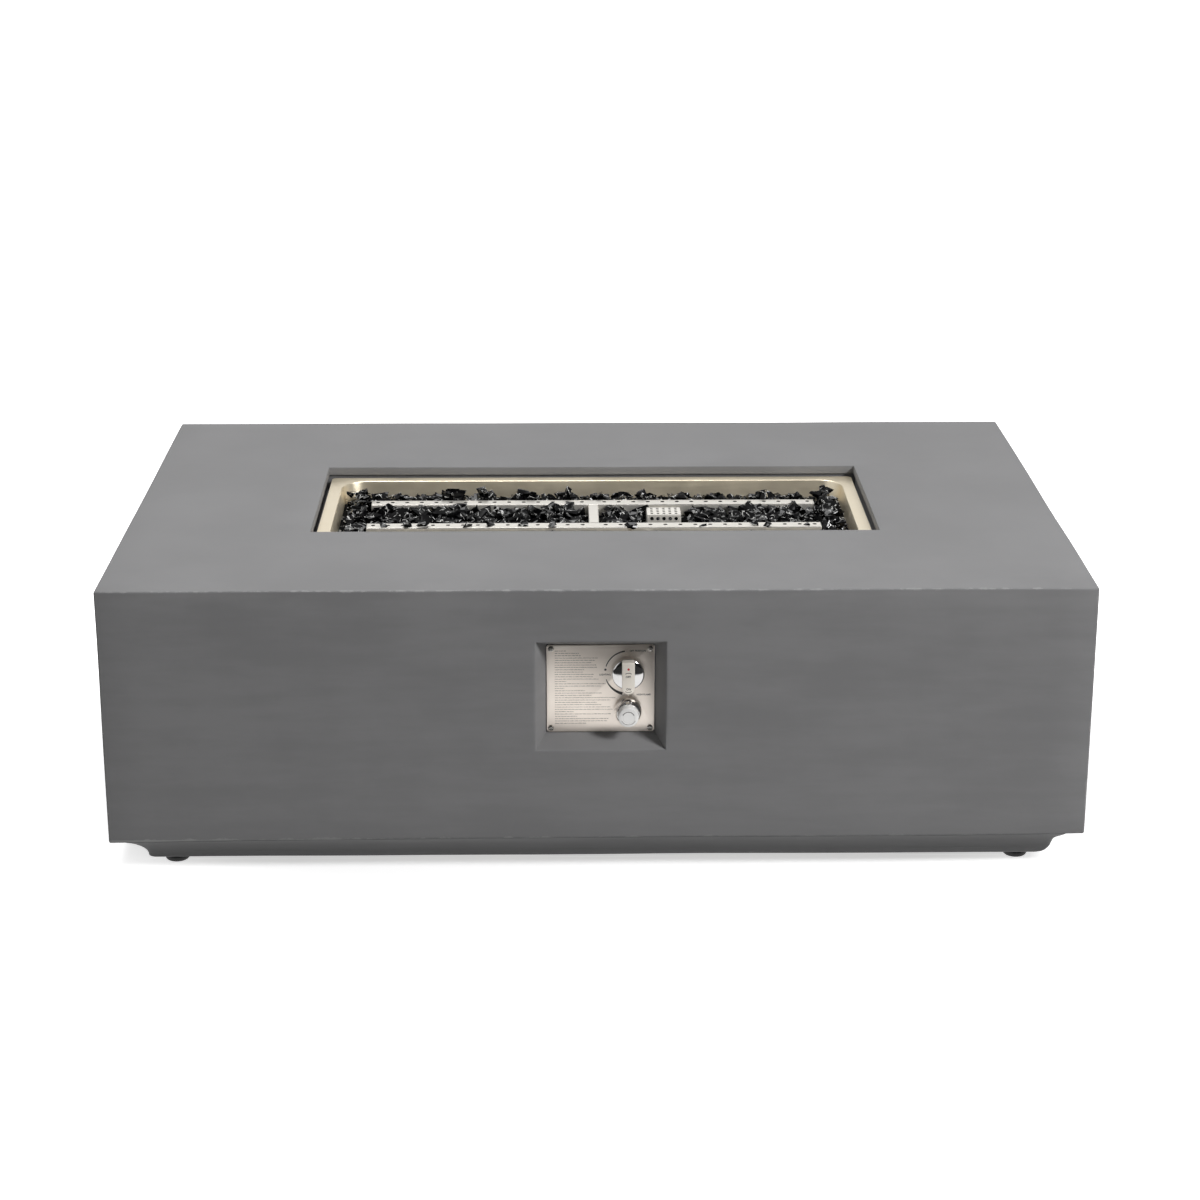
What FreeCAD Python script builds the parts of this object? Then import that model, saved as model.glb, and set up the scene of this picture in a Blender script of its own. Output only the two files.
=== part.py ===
"""Gas fire pit table: a hollow cast body on a plinth, a drop-in burner pan and a recessed control panel.

Millimetres. The origin is on the floor under the middle of the table, X runs to the right,
Y to the back and Z up. The controls face the front, at the negative end of Y.
"""

import FreeCAD, Part
import math
import os

V = FreeCAD.Vector
RIGHT = V(1, 0, 0)
LEFT = V(-1, 0, 0)
BACK = V(0, 1, 0)
FRONT = V(0, -1, 0)
UP = V(0, 0, 1)
DOWN = V(0, 0, -1)

# Flat sides and steps that stand for rounds
round_sides = 12
fine_sides = 24
small_sides = 8
corner_steps = 4
edge_steps = 3
cove_steps = 6
bend_step = 22.5

# Cast body
table_length = 1067.0
table_width = 695.0
body_height = 286.0
shell_wall = 14.0
top_thickness = 18.0
arris = 2.0
rim_width = 26.0
rim_height = 12.0

# Plinth under the body
plinth_drop = 33.0
plinth_setback = 30.0
plinth_wall = 14.0
plinth_corner_radius = 18.0
cove_depth = 16.0
cove_rise = 23.0
cove_lip = 6.5
plinth_edge = 1.5
spigot_clearance = 0.5
foot_block_length = 50.0
foot_block_width = 34.0
foot_block_chamfer = 8.0
hose_notch_width = 28.0
hose_notch_height = 20.0

# Cleats that hold the body down on the plinth
cleat_length = 60.0
cleat_thickness = 3.0
cleat_edge_gap = 2.0
cleat_inset = 134.0
cleat_screw_radius = 2.0
cleat_screw_head_radius = 4.0
cleat_screw_head_height = 2.0
cleat_screw_length = 10.0
cleat_hole_depth = 9.0
rim_screw_inset = 6.0
spigot_screw_inset = 8.0
cleat_hole_clearance = 0.1
screw_head_taper = 0.7

# Levelling feet
foot_height = 11.0
foot_gap = 0.2
foot_radius = 13.5
foot_crown_radius = 6.0
foot_crown_height = 5.5
foot_chamfer = 1.5
foot_inset_x = 66.0
foot_inset_y = 52.0
foot_stud_radius = 4.0
foot_stud_length = 23.0
foot_thread_clearance = 0.05
foot_insert_wall = 3.0
foot_insert_length = 22.0
foot_hole_extra = 4.0

# Opening in the top and the burner pan in it
opening_length = 647.0
opening_width = 268.0
flange_drop = 12.5
flange_gap = 3.0
flange_width = 16.0
flange_corner_radius = 6.0
ledge_width = 10.0
collar_width = 35.0
collar_depth = 24.0
pan_depth = 50.0
pan_thickness = 1.2
pan_draft = 5.0
pan_corner_radius = 28.0
pan_bottom_radius = 12.0
pan_mouth_chamfer = 1.0

# Burner
tube_end_gap = 38.5
tube_size = 20.0
tube_wall = 1.2
tube_corner = 1.5
tube_spacing = 94.0
tube_top_drop = 20.0
ports_each_side = 15
port_first = 13.5
port_end_margin = 7.5
port_radius = 1.1
port_sides = 4
cross_tube_width = 12.0
cross_tube_height = 14.0
end_cap_thickness = 1.5
stand_inset = 66.0
stand_width = 20.0
stand_thickness = 2.0
stand_foot = 14.0

# Gas train under the pan
nipple_radius = 5.0
nipple_bore_radius = 3.5
nipple_collar_radius = 9.0
nipple_collar_height = 3.0
nipple_hole_clearance = 0.2
lock_nut_flats = 17.0
lock_nut_height = 5.0
mixer_gap = 1.3
mixer_engagement = 7.0
mixer_length = 24.0
mixer_radius = 9.0
mixer_chamfer = 1.5
mixer_shoulder = 1.0
mixer_chamber_radius = 6.5
mixer_chamber_height = 9.0
mixer_window_radius = 2.5
jet_radius = 4.0
jet_engagement = 5.0
jet_bore_radius = 1.5
elbow_neck_radius = 6.0
elbow_rise = 9.0
elbow_radius = 8.0
elbow_reach = 10.0
feed_tube_radius = 4.0
feed_tube_wall = 1.0
feed_tube_run = 100.0
feed_tube_bend = 35.0
feed_nut_flats = 14.0
feed_nut_length = 12.0

# Spark and flame sensors under their guard
guard_length = 41.0
guard_width = 31.0
guard_thickness = 1.0
guard_cross_gap = 57.0
guard_tube_gap = 12.0
guard_hole_radius = 2.35
guard_hole_sides = 6
guard_hole_columns = 5
guard_hole_rows = 4
guard_hole_pitch = 7.2
guard_front_hole_drop = 5.5
guard_tab_length = 9.0
guard_tab_width = 16.0
guard_screw_radius = 1.5
guard_screw_head_radius = 3.0
guard_screw_head_height = 1.5
guard_screw_length = 5.0
bracket_thickness = 1.5
bracket_span = 32.0
bracket_width = 14.0
bracket_height = 18.0
bracket_foot = 3.0
sensor_spacing = 14.0
sensor_top_gap = 5.0
thermocouple_radius = 2.4
thermocouple_tail = 3.0
thermocouple_flange_radius = 3.6
thermocouple_flange_height = 2.0
thermocouple_tip_radius = 1.2
thermocouple_tip_length = 2.4
thermocouple_lead_radius = 1.1
insulator_radius = 3.5
insulator_tip_radius = 2.5
insulator_flange_radius = 5.0
insulator_flange_height = 2.5
insulator_length = 28.0
insulator_rise = 13.0
electrode_radius = 0.8
electrode_rise = 5.0
electrode_reach = 7.0
electrode_bend = 2.5
ignition_wire_radius = 1.5
grommet_radius = 4.0
grommet_flange_radius = 5.0
grommet_flange_thickness = 1.5
lead_over_tube = 18.0
lead_turn_share = 0.42
lead_join_share = 0.72
lead_down_bend = 15.0
lead_side_bend = 45.0
lead_end_gap = 1.0
wire_under_tube = 31.0
wire_turn_share = 0.50
wire_join_share = 0.76
wire_down_bend = 20.0

# Control recess in the front
recess_offset = 3.0
recess_rise = 165.1
recess_length = 140.5
recess_height = 124.0
recess_splay = 11.3
recess_depth = 27.0
recess_side_wall = 10.0
recess_back_wall = 10.0
plate_gap = 0.5
plate_thickness = 1.5
plate_corner_radius = 3.0
plate_seat_width = 10.0
plate_screw_inset = 4.7
plate_screw_radius = 2.0
plate_screw_length = 9.0
plate_screw_head_radius = 3.6
plate_screw_head_height = 1.8
plate_hole_clearance = 0.2
plate_insert_wall = 1.2
plate_insert_length = 8.0

# Gas valve and its knob
control_offset = 29.7
knob_rise = 17.9
knob_radius = 17.0
knob_disc_thickness = 4.0
knob_disc_chamfer = 1.0
knob_standoff = 4.6
knob_handle_width = 13.6
knob_handle_length = 36.0
knob_handle_depth = 11.0
stem_flats = 6.0
stem_clearance = 0.05
stem_grip = 10.0
stem_length = 28.0
stem_hole_radius = 5.0
stem_spring_length = 12.0
spring_wall = 0.5
spring_clearance = 0.4
rotor_radius = 6.0
rotor_clearance = 0.05
rotor_end_gap = 0.5
rotor_bottom = 7.0
valve_flange_radius = 17.0
valve_flange_thickness = 3.0
valve_radius = 13.0
valve_length = 47.5
valve_chamfer = 2.0
valve_boss_radius = 7.0
valve_boss_reach = 17.0
valve_boss_inset = 8.0
valve_screw_offset = 12.0
valve_screw_radius = 1.5
valve_screw_head_radius = 2.8
valve_screw_head_height = 1.0
magnet_radius = 8.5
magnet_length = 20.0
magnet_nut_flats = 10.0
magnet_nut_length = 10.0
inlet_reach = 13.7
inlet_body_radius = 9.0
inlet_end_length = 9.0
inlet_hex_flats = 19.0
inlet_hex_height = 8.0
inlet_hex_drop = 22.0
inlet_thread_radius = 7.94
inlet_thread_length = 16.0
inlet_nose_length = 6.0
inlet_nose_radius = 5.0
inlet_bore_radius = 4.0

# Battery spark igniter
igniter_drop = 24.9
housing_radius = 10.5
housing_front = 4.0
housing_length = 68.0
housing_bore_radius = 7.6
housing_flange_radius = 13.0
housing_flange_thickness = 2.0
housing_end_thickness = 4.0
housing_hole_clearance = 0.2
terminal_radius = 3.0
terminal_length = 4.0
igniter_nut_flats = 26.0
igniter_nut_length = 5.5
battery_radius = 7.1
battery_length = 49.0
battery_nub_radius = 2.7
battery_nub_length = 1.5
battery_gap = 0.5
collar_base_radius = 14.65
collar_base_height = 2.0
collar_shoulder_radius = 13.6
collar_shoulder_height = 9.5
collar_front_radius = 12.4
collar_gap = 0.2
collar_length = 11.8
collar_thread_clearance = 0.08
collar_button_clearance = 0.3
guide_thickness = 2.0
guide_gap = 0.5
guide_hub_wall = 1.5
guide_hub_length = 3.0
button_radius = 11.0
button_wall = 1.5
button_face = 2.5
button_stand_out = 25.0
button_skirt_overlap = 3.0
button_chamfer = 0.8
pin_radius = 2.5
pin_clearance = 0.05
pin_battery_gap = 5.0
button_spring_radius = 5.0

# Black fire glass
glass_height = 28.5
glass_gap = 0.4
glass_cell = 31.0
glass_corners = 3
glass_salt_step = 7
glass_peak_low = 8.0
glass_peak_high = 13.5

# Ranges for the loose glass, as shares of a piece's reach, of its cell or of the turn to its next corner
glass_reach_range = (0.36, 0.46)
glass_shift_range = (-0.02, 0.02)
glass_skew_range = (-0.18, 0.18)
glass_base_range = (0.50, 0.75)
glass_waist_range = (0.75, 1.00)
glass_waist_rise_range = (0.25, 0.70)
glass_lean_range = (-0.25, 0.25)

# Factors that scatter numbers from 0 to 1
scatter_index_factor = 12.9898
scatter_salt_factor = 78.233
scatter_spread = 43758.5453

# Levels and centres worked out from the sizes above
body_bottom = foot_height + plinth_drop
table_height = body_bottom + body_height
slab_bottom = table_height - top_thickness
corner_centre = plinth_setback + plinth_corner_radius
flange_top = table_height - flange_drop
ledge_level = flange_top - pan_thickness
flange_length = opening_length - 2 * flange_gap
flange_breadth = opening_width - 2 * flange_gap
pan_length = flange_length - 2 * flange_width
pan_width = flange_breadth - 2 * flange_width
pan_floor = flange_top - pan_depth
pan_underside = pan_floor - pan_thickness
tube_length = pan_length - 2 * tube_end_gap
tube_top = table_height - tube_top_drop
tube_bottom = tube_top - tube_size
tube_inner_face = (tube_spacing - tube_size) / 2
port_pitch = (tube_length / 2 - port_first - port_end_margin) / (ports_each_side - 1)
cross_tube_bottom = tube_top - cross_tube_height
mixer_top = pan_underside - lock_nut_height - mixer_gap
mixer_bottom = mixer_top - mixer_length
elbow_level = mixer_bottom - elbow_rise
guard_x = cross_tube_width / 2 + guard_cross_gap + guard_length / 2
guard_y = tube_inner_face - guard_tube_gap - guard_width / 2
thermocouple_x = guard_x - sensor_spacing / 2
electrode_x = guard_x + sensor_spacing / 2
bracket_top = pan_floor + bracket_height
sensor_top = tube_top - guard_thickness - sensor_top_gap
insulator_bottom = bracket_top - insulator_rise
insulator_top = insulator_bottom + insulator_length
front_face = -table_width / 2
recess_z = body_bottom + recess_rise
recess_floor_length = recess_length - 2 * recess_splay
recess_floor_height = recess_height - 2 * recess_splay
plate_back = front_face + recess_depth
plate_front = plate_back - plate_thickness
plate_length = recess_floor_length - 2 * plate_gap
plate_height = recess_floor_height - 2 * plate_gap
control_x = recess_offset + control_offset
knob_z = recess_z + knob_rise
igniter_z = recess_z - igniter_drop
valve_end = plate_back + valve_flange_thickness + valve_length
boss_y = valve_end - valve_boss_inset
disc_back = plate_front - knob_standoff
disc_front = disc_back - knob_disc_thickness
stem_front = disc_back - stem_grip
stem_end = stem_front + stem_length
rotor_socket_end = stem_end + stem_spring_length
rotor_end = rotor_socket_end + rotor_bottom
magnet_end = valve_end + magnet_length
inlet_x = control_x - valve_boss_reach - inlet_reach
inlet_thread_top = knob_z - inlet_hex_drop - inlet_hex_height
housing_front_end = plate_front - housing_front
housing_end = housing_front_end + housing_length
battery_end = housing_end - housing_end_thickness - battery_gap
battery_front = battery_end - battery_length - battery_nub_length
collar_back = plate_front - housing_flange_thickness - collar_gap
collar_front = collar_back - collar_length
guide_back = housing_front_end - guide_gap
button_front = plate_front - button_stand_out
button_back = collar_front + button_skirt_overlap
bed_top = pan_floor + glass_height


def box(x0, x1, y0, y1, z0, z1):
    return Part.makeBox(x1 - x0, y1 - y0, z1 - z0, V(x0, y0, z0))


def shaft(radius, start, direction, length):
    """A true cylinder, for what turns, slides or is measured."""
    return Part.makeCylinder(radius, length, start, direction)


def placed(shape, origin, direction):
    """Move a shape built along Z so that it stands at origin and points in direction."""
    shape.Placement = FreeCAD.Placement(origin, FreeCAD.Rotation(UP, direction))
    return shape


def ring_points(sides, radius, z):
    """The corners of a regular polygon about Z, the first one repeated at the end."""
    points = []
    for side in range(sides):
        angle = 2 * math.pi * (side + 0.5) / sides
        points.append(V(radius * math.cos(angle), radius * math.sin(angle), z))
    return points + points[:1]


def rod(radius, start, direction, length, sides=round_sides):
    """A prism given by the radius through its corners."""
    face = Part.Face(Part.makePolygon(ring_points(sides, radius, 0)))
    return placed(face.extrude(UP * length), start, direction)


def tube(outer_radius, inner_radius, start, direction, length, sides=round_sides):
    outer = rod(outer_radius, start, direction, length, sides)
    return outer.cut(rod(inner_radius, start, direction, length, sides))


def hexagon(across_flats, start, direction, length):
    return rod(across_flats / math.sqrt(3), start, direction, length, 6)


def closed_solid(faces):
    shell = Part.Shell(faces)
    shell.sewShape()
    solid = Part.Solid(shell)
    if solid.Volume < 0:
        solid.reverse()
    return solid


def turned(outline, origin, direction, sides=round_sides):
    """A turned piece with flat sides, its outline given as pairs of radius and distance along the axis."""
    faces = []
    for (radius_a, along_a), (radius_b, along_b) in zip(outline, outline[1:] + outline[:1]):
        if radius_a == 0 and radius_b == 0:
            continue
        loop_a = ring_points(sides, radius_a, along_a)
        loop_b = ring_points(sides, radius_b, along_b)
        if along_a == along_b:
            inner, outer = sorted((loop_a, loop_b), key=lambda loop: loop[0].Length)
            flat = Part.Face(Part.makePolygon(outer))
            faces.append(flat if min(radius_a, radius_b) == 0 else flat.cut(Part.Face(Part.makePolygon(inner))))
            continue
        for side in range(sides):
            corners = [loop_a[side], loop_a[side + 1], loop_b[side + 1], loop_b[side]]
            if radius_a == 0:
                corners = corners[1:]
            elif radius_b == 0:
                corners = corners[:3]
            faces.append(Part.Face(Part.makePolygon(corners + corners[:1])))
    flat_faces = [face for piece in faces for face in piece.Faces]
    return placed(closed_solid(flat_faces), origin, direction)


def stacked(loops):
    """A solid through closed loops of matching corners, with flat ends."""
    faces = [Part.Face(Part.makePolygon(loops[0])), Part.Face(Part.makePolygon(loops[-1]))]
    for low, high in zip(loops, loops[1:]):
        for corner in range(len(low) - 1):
            corners = [low[corner], low[corner + 1], high[corner + 1], high[corner], low[corner]]
            faces.append(Part.Face(Part.makePolygon(corners)))
    return closed_solid(faces)


def rounded_loop(length, width, radius, z):
    """A rectangle whose corner rounds are worked out in equal steps."""
    points = []
    for quarter, (side_x, side_y) in enumerate([(1, 1), (-1, 1), (-1, -1), (1, -1)]):
        centre = V(side_x * (length / 2 - radius), side_y * (width / 2 - radius), z)
        for step in range(corner_steps + 1):
            angle = math.pi / 2 * (quarter + step / corner_steps)
            points.append(centre + V(math.cos(angle), math.sin(angle), 0) * radius)
    return points + points[:1]


def rounded_prism(length, width, radius, z0, z1):
    return stacked([rounded_loop(length, width, radius, z) for z in (z0, z1)])


def body_loop(inset, z):
    """A loop inside the body's outline, with its corner rounds about one centre."""
    return rounded_loop(table_length - 2 * inset, table_width - 2 * inset, corner_centre - inset, z)


def body_prism(inset, z0, z1):
    return stacked([body_loop(inset, z0), body_loop(inset, z1)])


def bent_rod(name, radius, points, bends, sides=small_sides):
    """A wire or tube of straight runs and tangent arcs, with one bend radius for each inner point.

    The section turns about each bend's axis in equal steps. The length of the path along its arcs
    and the solid's volume over section times length are printed.
    """
    heading = (points[1] - points[0]).normalize()
    section = placed(Part.makePolygon(ring_points(sides, radius, 0)), points[0], heading)
    loop = [vertex.Point for vertex in section.Vertexes]
    loops = [loop + loop[:1]]
    start = points[0]
    length = 0
    for before, corner, after, bend in zip(points, points[1:], points[2:], bends):
        into = (corner - before).normalize()
        out = (after - corner).normalize()
        turn = into.getAngle(out)
        reach = bend * math.tan(turn / 2)
        first = corner - into * reach
        last = corner + out * reach
        axis = into.cross(out).normalize()
        centre = first + axis.cross(into) * bend
        run = first - start
        loops.append([point + run for point in loops[-1]])
        steps = math.ceil(math.degrees(turn) / bend_step)
        rotation = FreeCAD.Rotation(axis, math.degrees(turn) / steps)
        for _ in range(steps):
            loops.append([centre + rotation.multVec(point - centre) for point in loops[-1]])
        length += run.Length + bend * turn
        start = last
    run = points[-1] - start
    length += run.Length
    loops.append([point + run for point in loops[-1]])
    solid = stacked(loops)
    ratio = solid.Volume / (Part.Face(Part.makePolygon(loops[0])).Area * length)
    print(f"{name}: radius {radius}, bends {bends}, length {length:.1f}, volume ratio {ratio:.4f}")
    return solid


def group(shapes):
    return Part.makeCompound(shapes)


def mirrored_places(x, y):
    """The four places at plus and minus x and y."""
    return [(side_x * x, side_y * y) for side_x in (-1, 1) for side_y in (-1, 1)]


def recess_taper(grow):
    """The splayed recess as a solid taper from the front face to its floor, grown by a wall."""
    mouth = (recess_length / 2 + grow, recess_height / 2 + grow, front_face)
    floor = (recess_floor_length / 2 + grow, recess_floor_height / 2 + grow, plate_back)
    wires = []
    for half_length, half_height, y in (mouth, floor):
        corners = [(-1, -1), (1, -1), (1, 1), (-1, 1), (-1, -1)]
        points = [V(recess_offset + a * half_length, y, recess_z + b * half_height) for a, b in corners]
        wires.append(Part.makePolygon(points))
    return Part.makeLoft(wires, True, True)


def recess_box(half_length, half_height, y0, y1):
    return box(
        recess_offset - half_length,
        recess_offset + half_length,
        y0,
        y1,
        recess_z - half_height,
        recess_z + half_height,
    )


def plate_screw_places():
    x = plate_length / 2 - plate_screw_inset
    z = plate_height / 2 - plate_screw_inset
    return [(recess_offset + a, recess_z + b) for a, b in mirrored_places(x, z)]


def cleat_places():
    x = table_length / 2 - cleat_inset
    return [(a, b) for a in (-x, x) for b in (-1, 1)]


def cleat_screw_points(x, side):
    """Under one cleat, one screw enters the body's rim and one the plinth's spigot."""
    insets = (rim_width - rim_screw_inset, rim_width + spigot_screw_inset)
    return [V(x, side * (table_width / 2 - inset), body_bottom + rim_height) for inset in insets]


def cleat_holes():
    radius = cleat_screw_radius + cleat_hole_clearance
    return [
        rod(radius, point, DOWN, cleat_hole_depth, small_sides)
        for x, side in cleat_places()
        for point in cleat_screw_points(x, side)
    ]


def body_shell():
    half_x = table_length / 2
    half_y = table_width / 2
    block = box(-half_x, half_x, -half_y, half_y, body_bottom, table_height)
    arrises = [edge for edge in block.Edges if edge.BoundBox.ZMax > (body_bottom + table_height) / 2]
    shell = block.makeChamfer(arris, arrises)
    cavity = body_prism(shell_wall, body_bottom + rim_height, slab_bottom)
    mouth = body_prism(rim_width, body_bottom, body_bottom + rim_height)
    ledge_length = flange_length - 2 * ledge_width
    ledge_breadth = flange_breadth - 2 * ledge_width
    collar_x = ledge_length / 2 + collar_width
    collar_y = ledge_breadth / 2 + collar_width
    collar = box(-collar_x, collar_x, -collar_y, collar_y, slab_bottom - collar_depth, slab_bottom)
    funnel = recess_taper(recess_side_wall).fuse(
        recess_box(
            recess_floor_length / 2 + recess_side_wall,
            recess_floor_height / 2 + recess_side_wall,
            plate_back,
            plate_back + recess_back_wall,
        )
    )
    shell = shell.cut([cavity, mouth]).fuse([collar, funnel])
    mouth_x = opening_length / 2
    mouth_y = opening_width / 2
    opening = box(-mouth_x, mouth_x, -mouth_y, mouth_y, ledge_level, table_height)
    well_x = ledge_length / 2
    well_y = ledge_breadth / 2
    well = box(-well_x, well_x, -well_y, well_y, slab_bottom - collar_depth, ledge_level)
    window = recess_box(
        recess_floor_length / 2 - plate_seat_width,
        recess_floor_height / 2 - plate_seat_width,
        plate_back,
        plate_back + recess_back_wall,
    )
    insert_radius = plate_screw_radius + plate_insert_wall
    insert_holes = [
        rod(insert_radius, V(x, plate_back, z), BACK, plate_insert_length, small_sides)
        for x, z in plate_screw_places()
    ]
    cuts = [opening, well, recess_taper(0), window] + insert_holes + cleat_holes()
    return shell.cut(cuts).removeSplitter()


def foot_places():
    x = table_length / 2 - foot_inset_x
    y = table_width / 2 - foot_inset_y
    return {
        "foot_front_left": (-x, -y),
        "foot_front_right": (x, -y),
        "foot_rear_left": (-x, y),
        "foot_rear_right": (x, y),
    }


def plinth_outline():
    """Insets and levels up the plinth's outside: lower edge, wall, hollow cove and lip."""
    cove_top = plinth_setback - cove_depth
    cove_foot = body_bottom - cove_lip - cove_rise
    outline = [(plinth_setback + plinth_edge, foot_height), (plinth_setback, foot_height + plinth_edge)]
    for step in range(cove_steps + 1):
        angle = math.pi / 2 * step / cove_steps
        outline.append((cove_top + cove_depth * math.cos(angle), cove_foot + cove_rise * math.sin(angle)))
    outline.append((cove_top, body_bottom))
    return outline


def plinth_ring():
    wall_in = plinth_setback + plinth_wall
    spigot_top = body_bottom + rim_height
    outside = stacked([body_loop(inset, z) for inset, z in plinth_outline()])
    spigot = body_prism(rim_width + spigot_clearance, body_bottom, spigot_top)
    ring = outside.fuse(spigot).cut(body_prism(wall_in, foot_height, spigot_top))
    blocks = []
    hollow_x = table_length / 2 - wall_in
    hollow_y = table_width / 2 - wall_in
    overlap = plinth_wall / 2
    for side_x, side_y in mirrored_places(1, 1):
        outline = [
            (overlap, overlap),
            (-foot_block_length, overlap),
            (-foot_block_length, foot_block_chamfer - foot_block_width),
            (foot_block_chamfer - foot_block_length, -foot_block_width),
            (overlap, -foot_block_width),
        ]
        points = [V(side_x * (hollow_x + a), side_y * (hollow_y + b), foot_height) for a, b in outline]
        blocks.append(Part.Face(Part.makePolygon(points + points[:1])).extrude(UP * (spigot_top - foot_height)))
    notch_half = hose_notch_width / 2
    notch_top = foot_height + hose_notch_height
    notch = box(-notch_half, notch_half, hollow_y, table_width / 2, foot_height, notch_top)
    hole_radius = foot_stud_radius + foot_thread_clearance + foot_insert_wall
    hole_depth = foot_insert_length + foot_hole_extra
    holes = [rod(hole_radius, V(x, y, foot_height), UP, hole_depth) for x, y in foot_places().values()]
    return ring.fuse(blocks).cut([notch] + holes + cleat_holes()).removeSplitter()


def foot_inserts():
    inner = foot_stud_radius + foot_thread_clearance
    outer = inner + foot_insert_wall
    return group(
        [tube(outer, inner, V(x, y, foot_height), UP, foot_insert_length) for x, y in foot_places().values()]
    )


def levelling_foot(x, y):
    top = foot_height - foot_gap
    outline = [
        (0, 0),
        (foot_radius - foot_chamfer, 0),
        (foot_radius, foot_chamfer),
        (foot_radius, top - foot_crown_height),
        (foot_crown_radius, top),
        (foot_stud_radius, top),
        (foot_stud_radius, top + foot_stud_length),
        (0, top + foot_stud_length),
    ]
    return turned(outline, V(x, y, 0), UP)


def base_cleats():
    cleats = []
    for x, side in cleat_places():
        outer = side * (table_width / 2 - shell_wall - cleat_edge_gap)
        inner = side * (table_width / 2 - plinth_setback - plinth_wall)
        level = body_bottom + rim_height
        y0, y1 = sorted((outer, inner))
        cleats.append(box(x - cleat_length / 2, x + cleat_length / 2, y0, y1, level, level + cleat_thickness))
    radius = cleat_screw_radius + cleat_hole_clearance
    holes = [
        rod(radius, point, UP, cleat_thickness, small_sides)
        for x, side in cleat_places()
        for point in cleat_screw_points(x, side)
    ]
    return group([cleat.cut(holes) for cleat in cleats])


def screw(radius, head_radius, head_height, length, seat, direction):
    """A screw with a tapered head that rests at seat, and a shank that runs on in direction."""
    outline = [
        (0, -head_height),
        (head_radius * screw_head_taper, -head_height),
        (head_radius, 0),
        (radius, 0),
        (radius, length),
        (0, length),
    ]
    return turned(outline, seat, direction, small_sides)


def cleat_screws():
    return group(
        [
            screw(
                cleat_screw_radius,
                cleat_screw_head_radius,
                cleat_screw_head_height,
                cleat_screw_length,
                point + UP * cleat_thickness,
                DOWN,
            )
            for x, side in cleat_places()
            for point in cleat_screw_points(x, side)
        ]
    )


def pan_outline(gap, floor):
    """Insets and levels down the pan's inside, shrunk by a gap: wall, rounded lower edge and floor."""
    radius = pan_bottom_radius - gap
    outline = [(gap, flange_top)]
    for step in range(edge_steps + 1):
        angle = math.pi / 2 * step / edge_steps
        inset = gap + pan_draft + radius * (1 - math.cos(angle))
        outline.append((inset, floor + radius * (1 - math.sin(angle))))
    return outline


def pan_stack(outline):
    return stacked(
        [
            rounded_loop(pan_length - 2 * inset, pan_width - 2 * inset, pan_corner_radius - inset, z)
            for inset, z in outline
        ]
    )


def sensor_holes():
    return [(thermocouple_x, guard_y), (electrode_x, guard_y)]


def guard_screw_places():
    reach = guard_length / 2 + guard_tab_length / 2
    return [(guard_x - reach, guard_y), (guard_x + reach, guard_y)]


def burner_pan():
    flange = rounded_prism(flange_length, flange_breadth, flange_corner_radius, ledge_level, flange_top)
    mouth = [(-pan_mouth_chamfer, flange_top), (0, flange_top - pan_mouth_chamfer)]
    inside = pan_stack(mouth + pan_outline(0, pan_floor)[1:])
    outside = pan_stack(pan_outline(-pan_thickness, pan_underside))
    tray = flange.fuse(outside).cut(inside)
    below = pan_underside
    holes = [rod(nipple_radius + nipple_hole_clearance, V(0, 0, below), UP, pan_thickness)]
    holes += [rod(grommet_radius, V(x, y, below), UP, pan_thickness, small_sides) for x, y in sensor_holes()]
    holes += [
        rod(guard_screw_radius, V(x, y, below), UP, pan_thickness, small_sides) for x, y in guard_screw_places()
    ]
    return tray.cut(holes)


def square_bar(x0, x1, y, z, size, corner):
    """A square bar along X with its long edges chamfered."""
    half = size / 2
    flat = half - corner
    section = [(half, flat), (flat, half), (-flat, half), (-half, flat)]
    section += [(-a, -b) for a, b in section]
    points = [V(x0, y + a, z + b) for a, b in section]
    return Part.Face(Part.makePolygon(points + points[:1])).extrude(RIGHT * (x1 - x0))


def cross_tube_bore():
    """The gas way through the cross tube, which also opens the long tubes' inner walls."""
    half = cross_tube_width / 2 - tube_wall
    reach = tube_inner_face + tube_wall
    return box(-half, half, -reach, reach, cross_tube_bottom + tube_wall, tube_top - tube_wall)


def burner_tube(side):
    half = tube_length / 2 - end_cap_thickness
    y = side * tube_spacing / 2
    z = (tube_top + tube_bottom) / 2
    outer = square_bar(-half, half, y, z, tube_size, tube_corner)
    inner = square_bar(-half, half, y, z, tube_size - 2 * tube_wall, tube_corner)
    ports = []
    for index in range(ports_each_side):
        for direction in (-1, 1):
            x = direction * (port_first + index * port_pitch)
            start = V(x, y, tube_top - 2 * tube_wall)
            ports.append(rod(port_radius, start, UP, 3 * tube_wall, port_sides))
    return outer.cut([inner, cross_tube_bore()] + ports)


def burner_cross_tube():
    half = cross_tube_width / 2
    outer = box(-half, half, -tube_inner_face, tube_inner_face, cross_tube_bottom, tube_top)
    inlet = rod(nipple_bore_radius, V(0, 0, cross_tube_bottom), UP, tube_wall)
    return outer.cut([cross_tube_bore(), inlet])


def burner_end_caps():
    caps = []
    for side_x, y in mirrored_places(1, tube_spacing / 2):
        x0, x1 = sorted((side_x * tube_length / 2, side_x * (tube_length / 2 - end_cap_thickness)))
        caps.append(square_bar(x0, x1, y, (tube_top + tube_bottom) / 2, tube_size, tube_corner))
    return group(caps)


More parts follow.
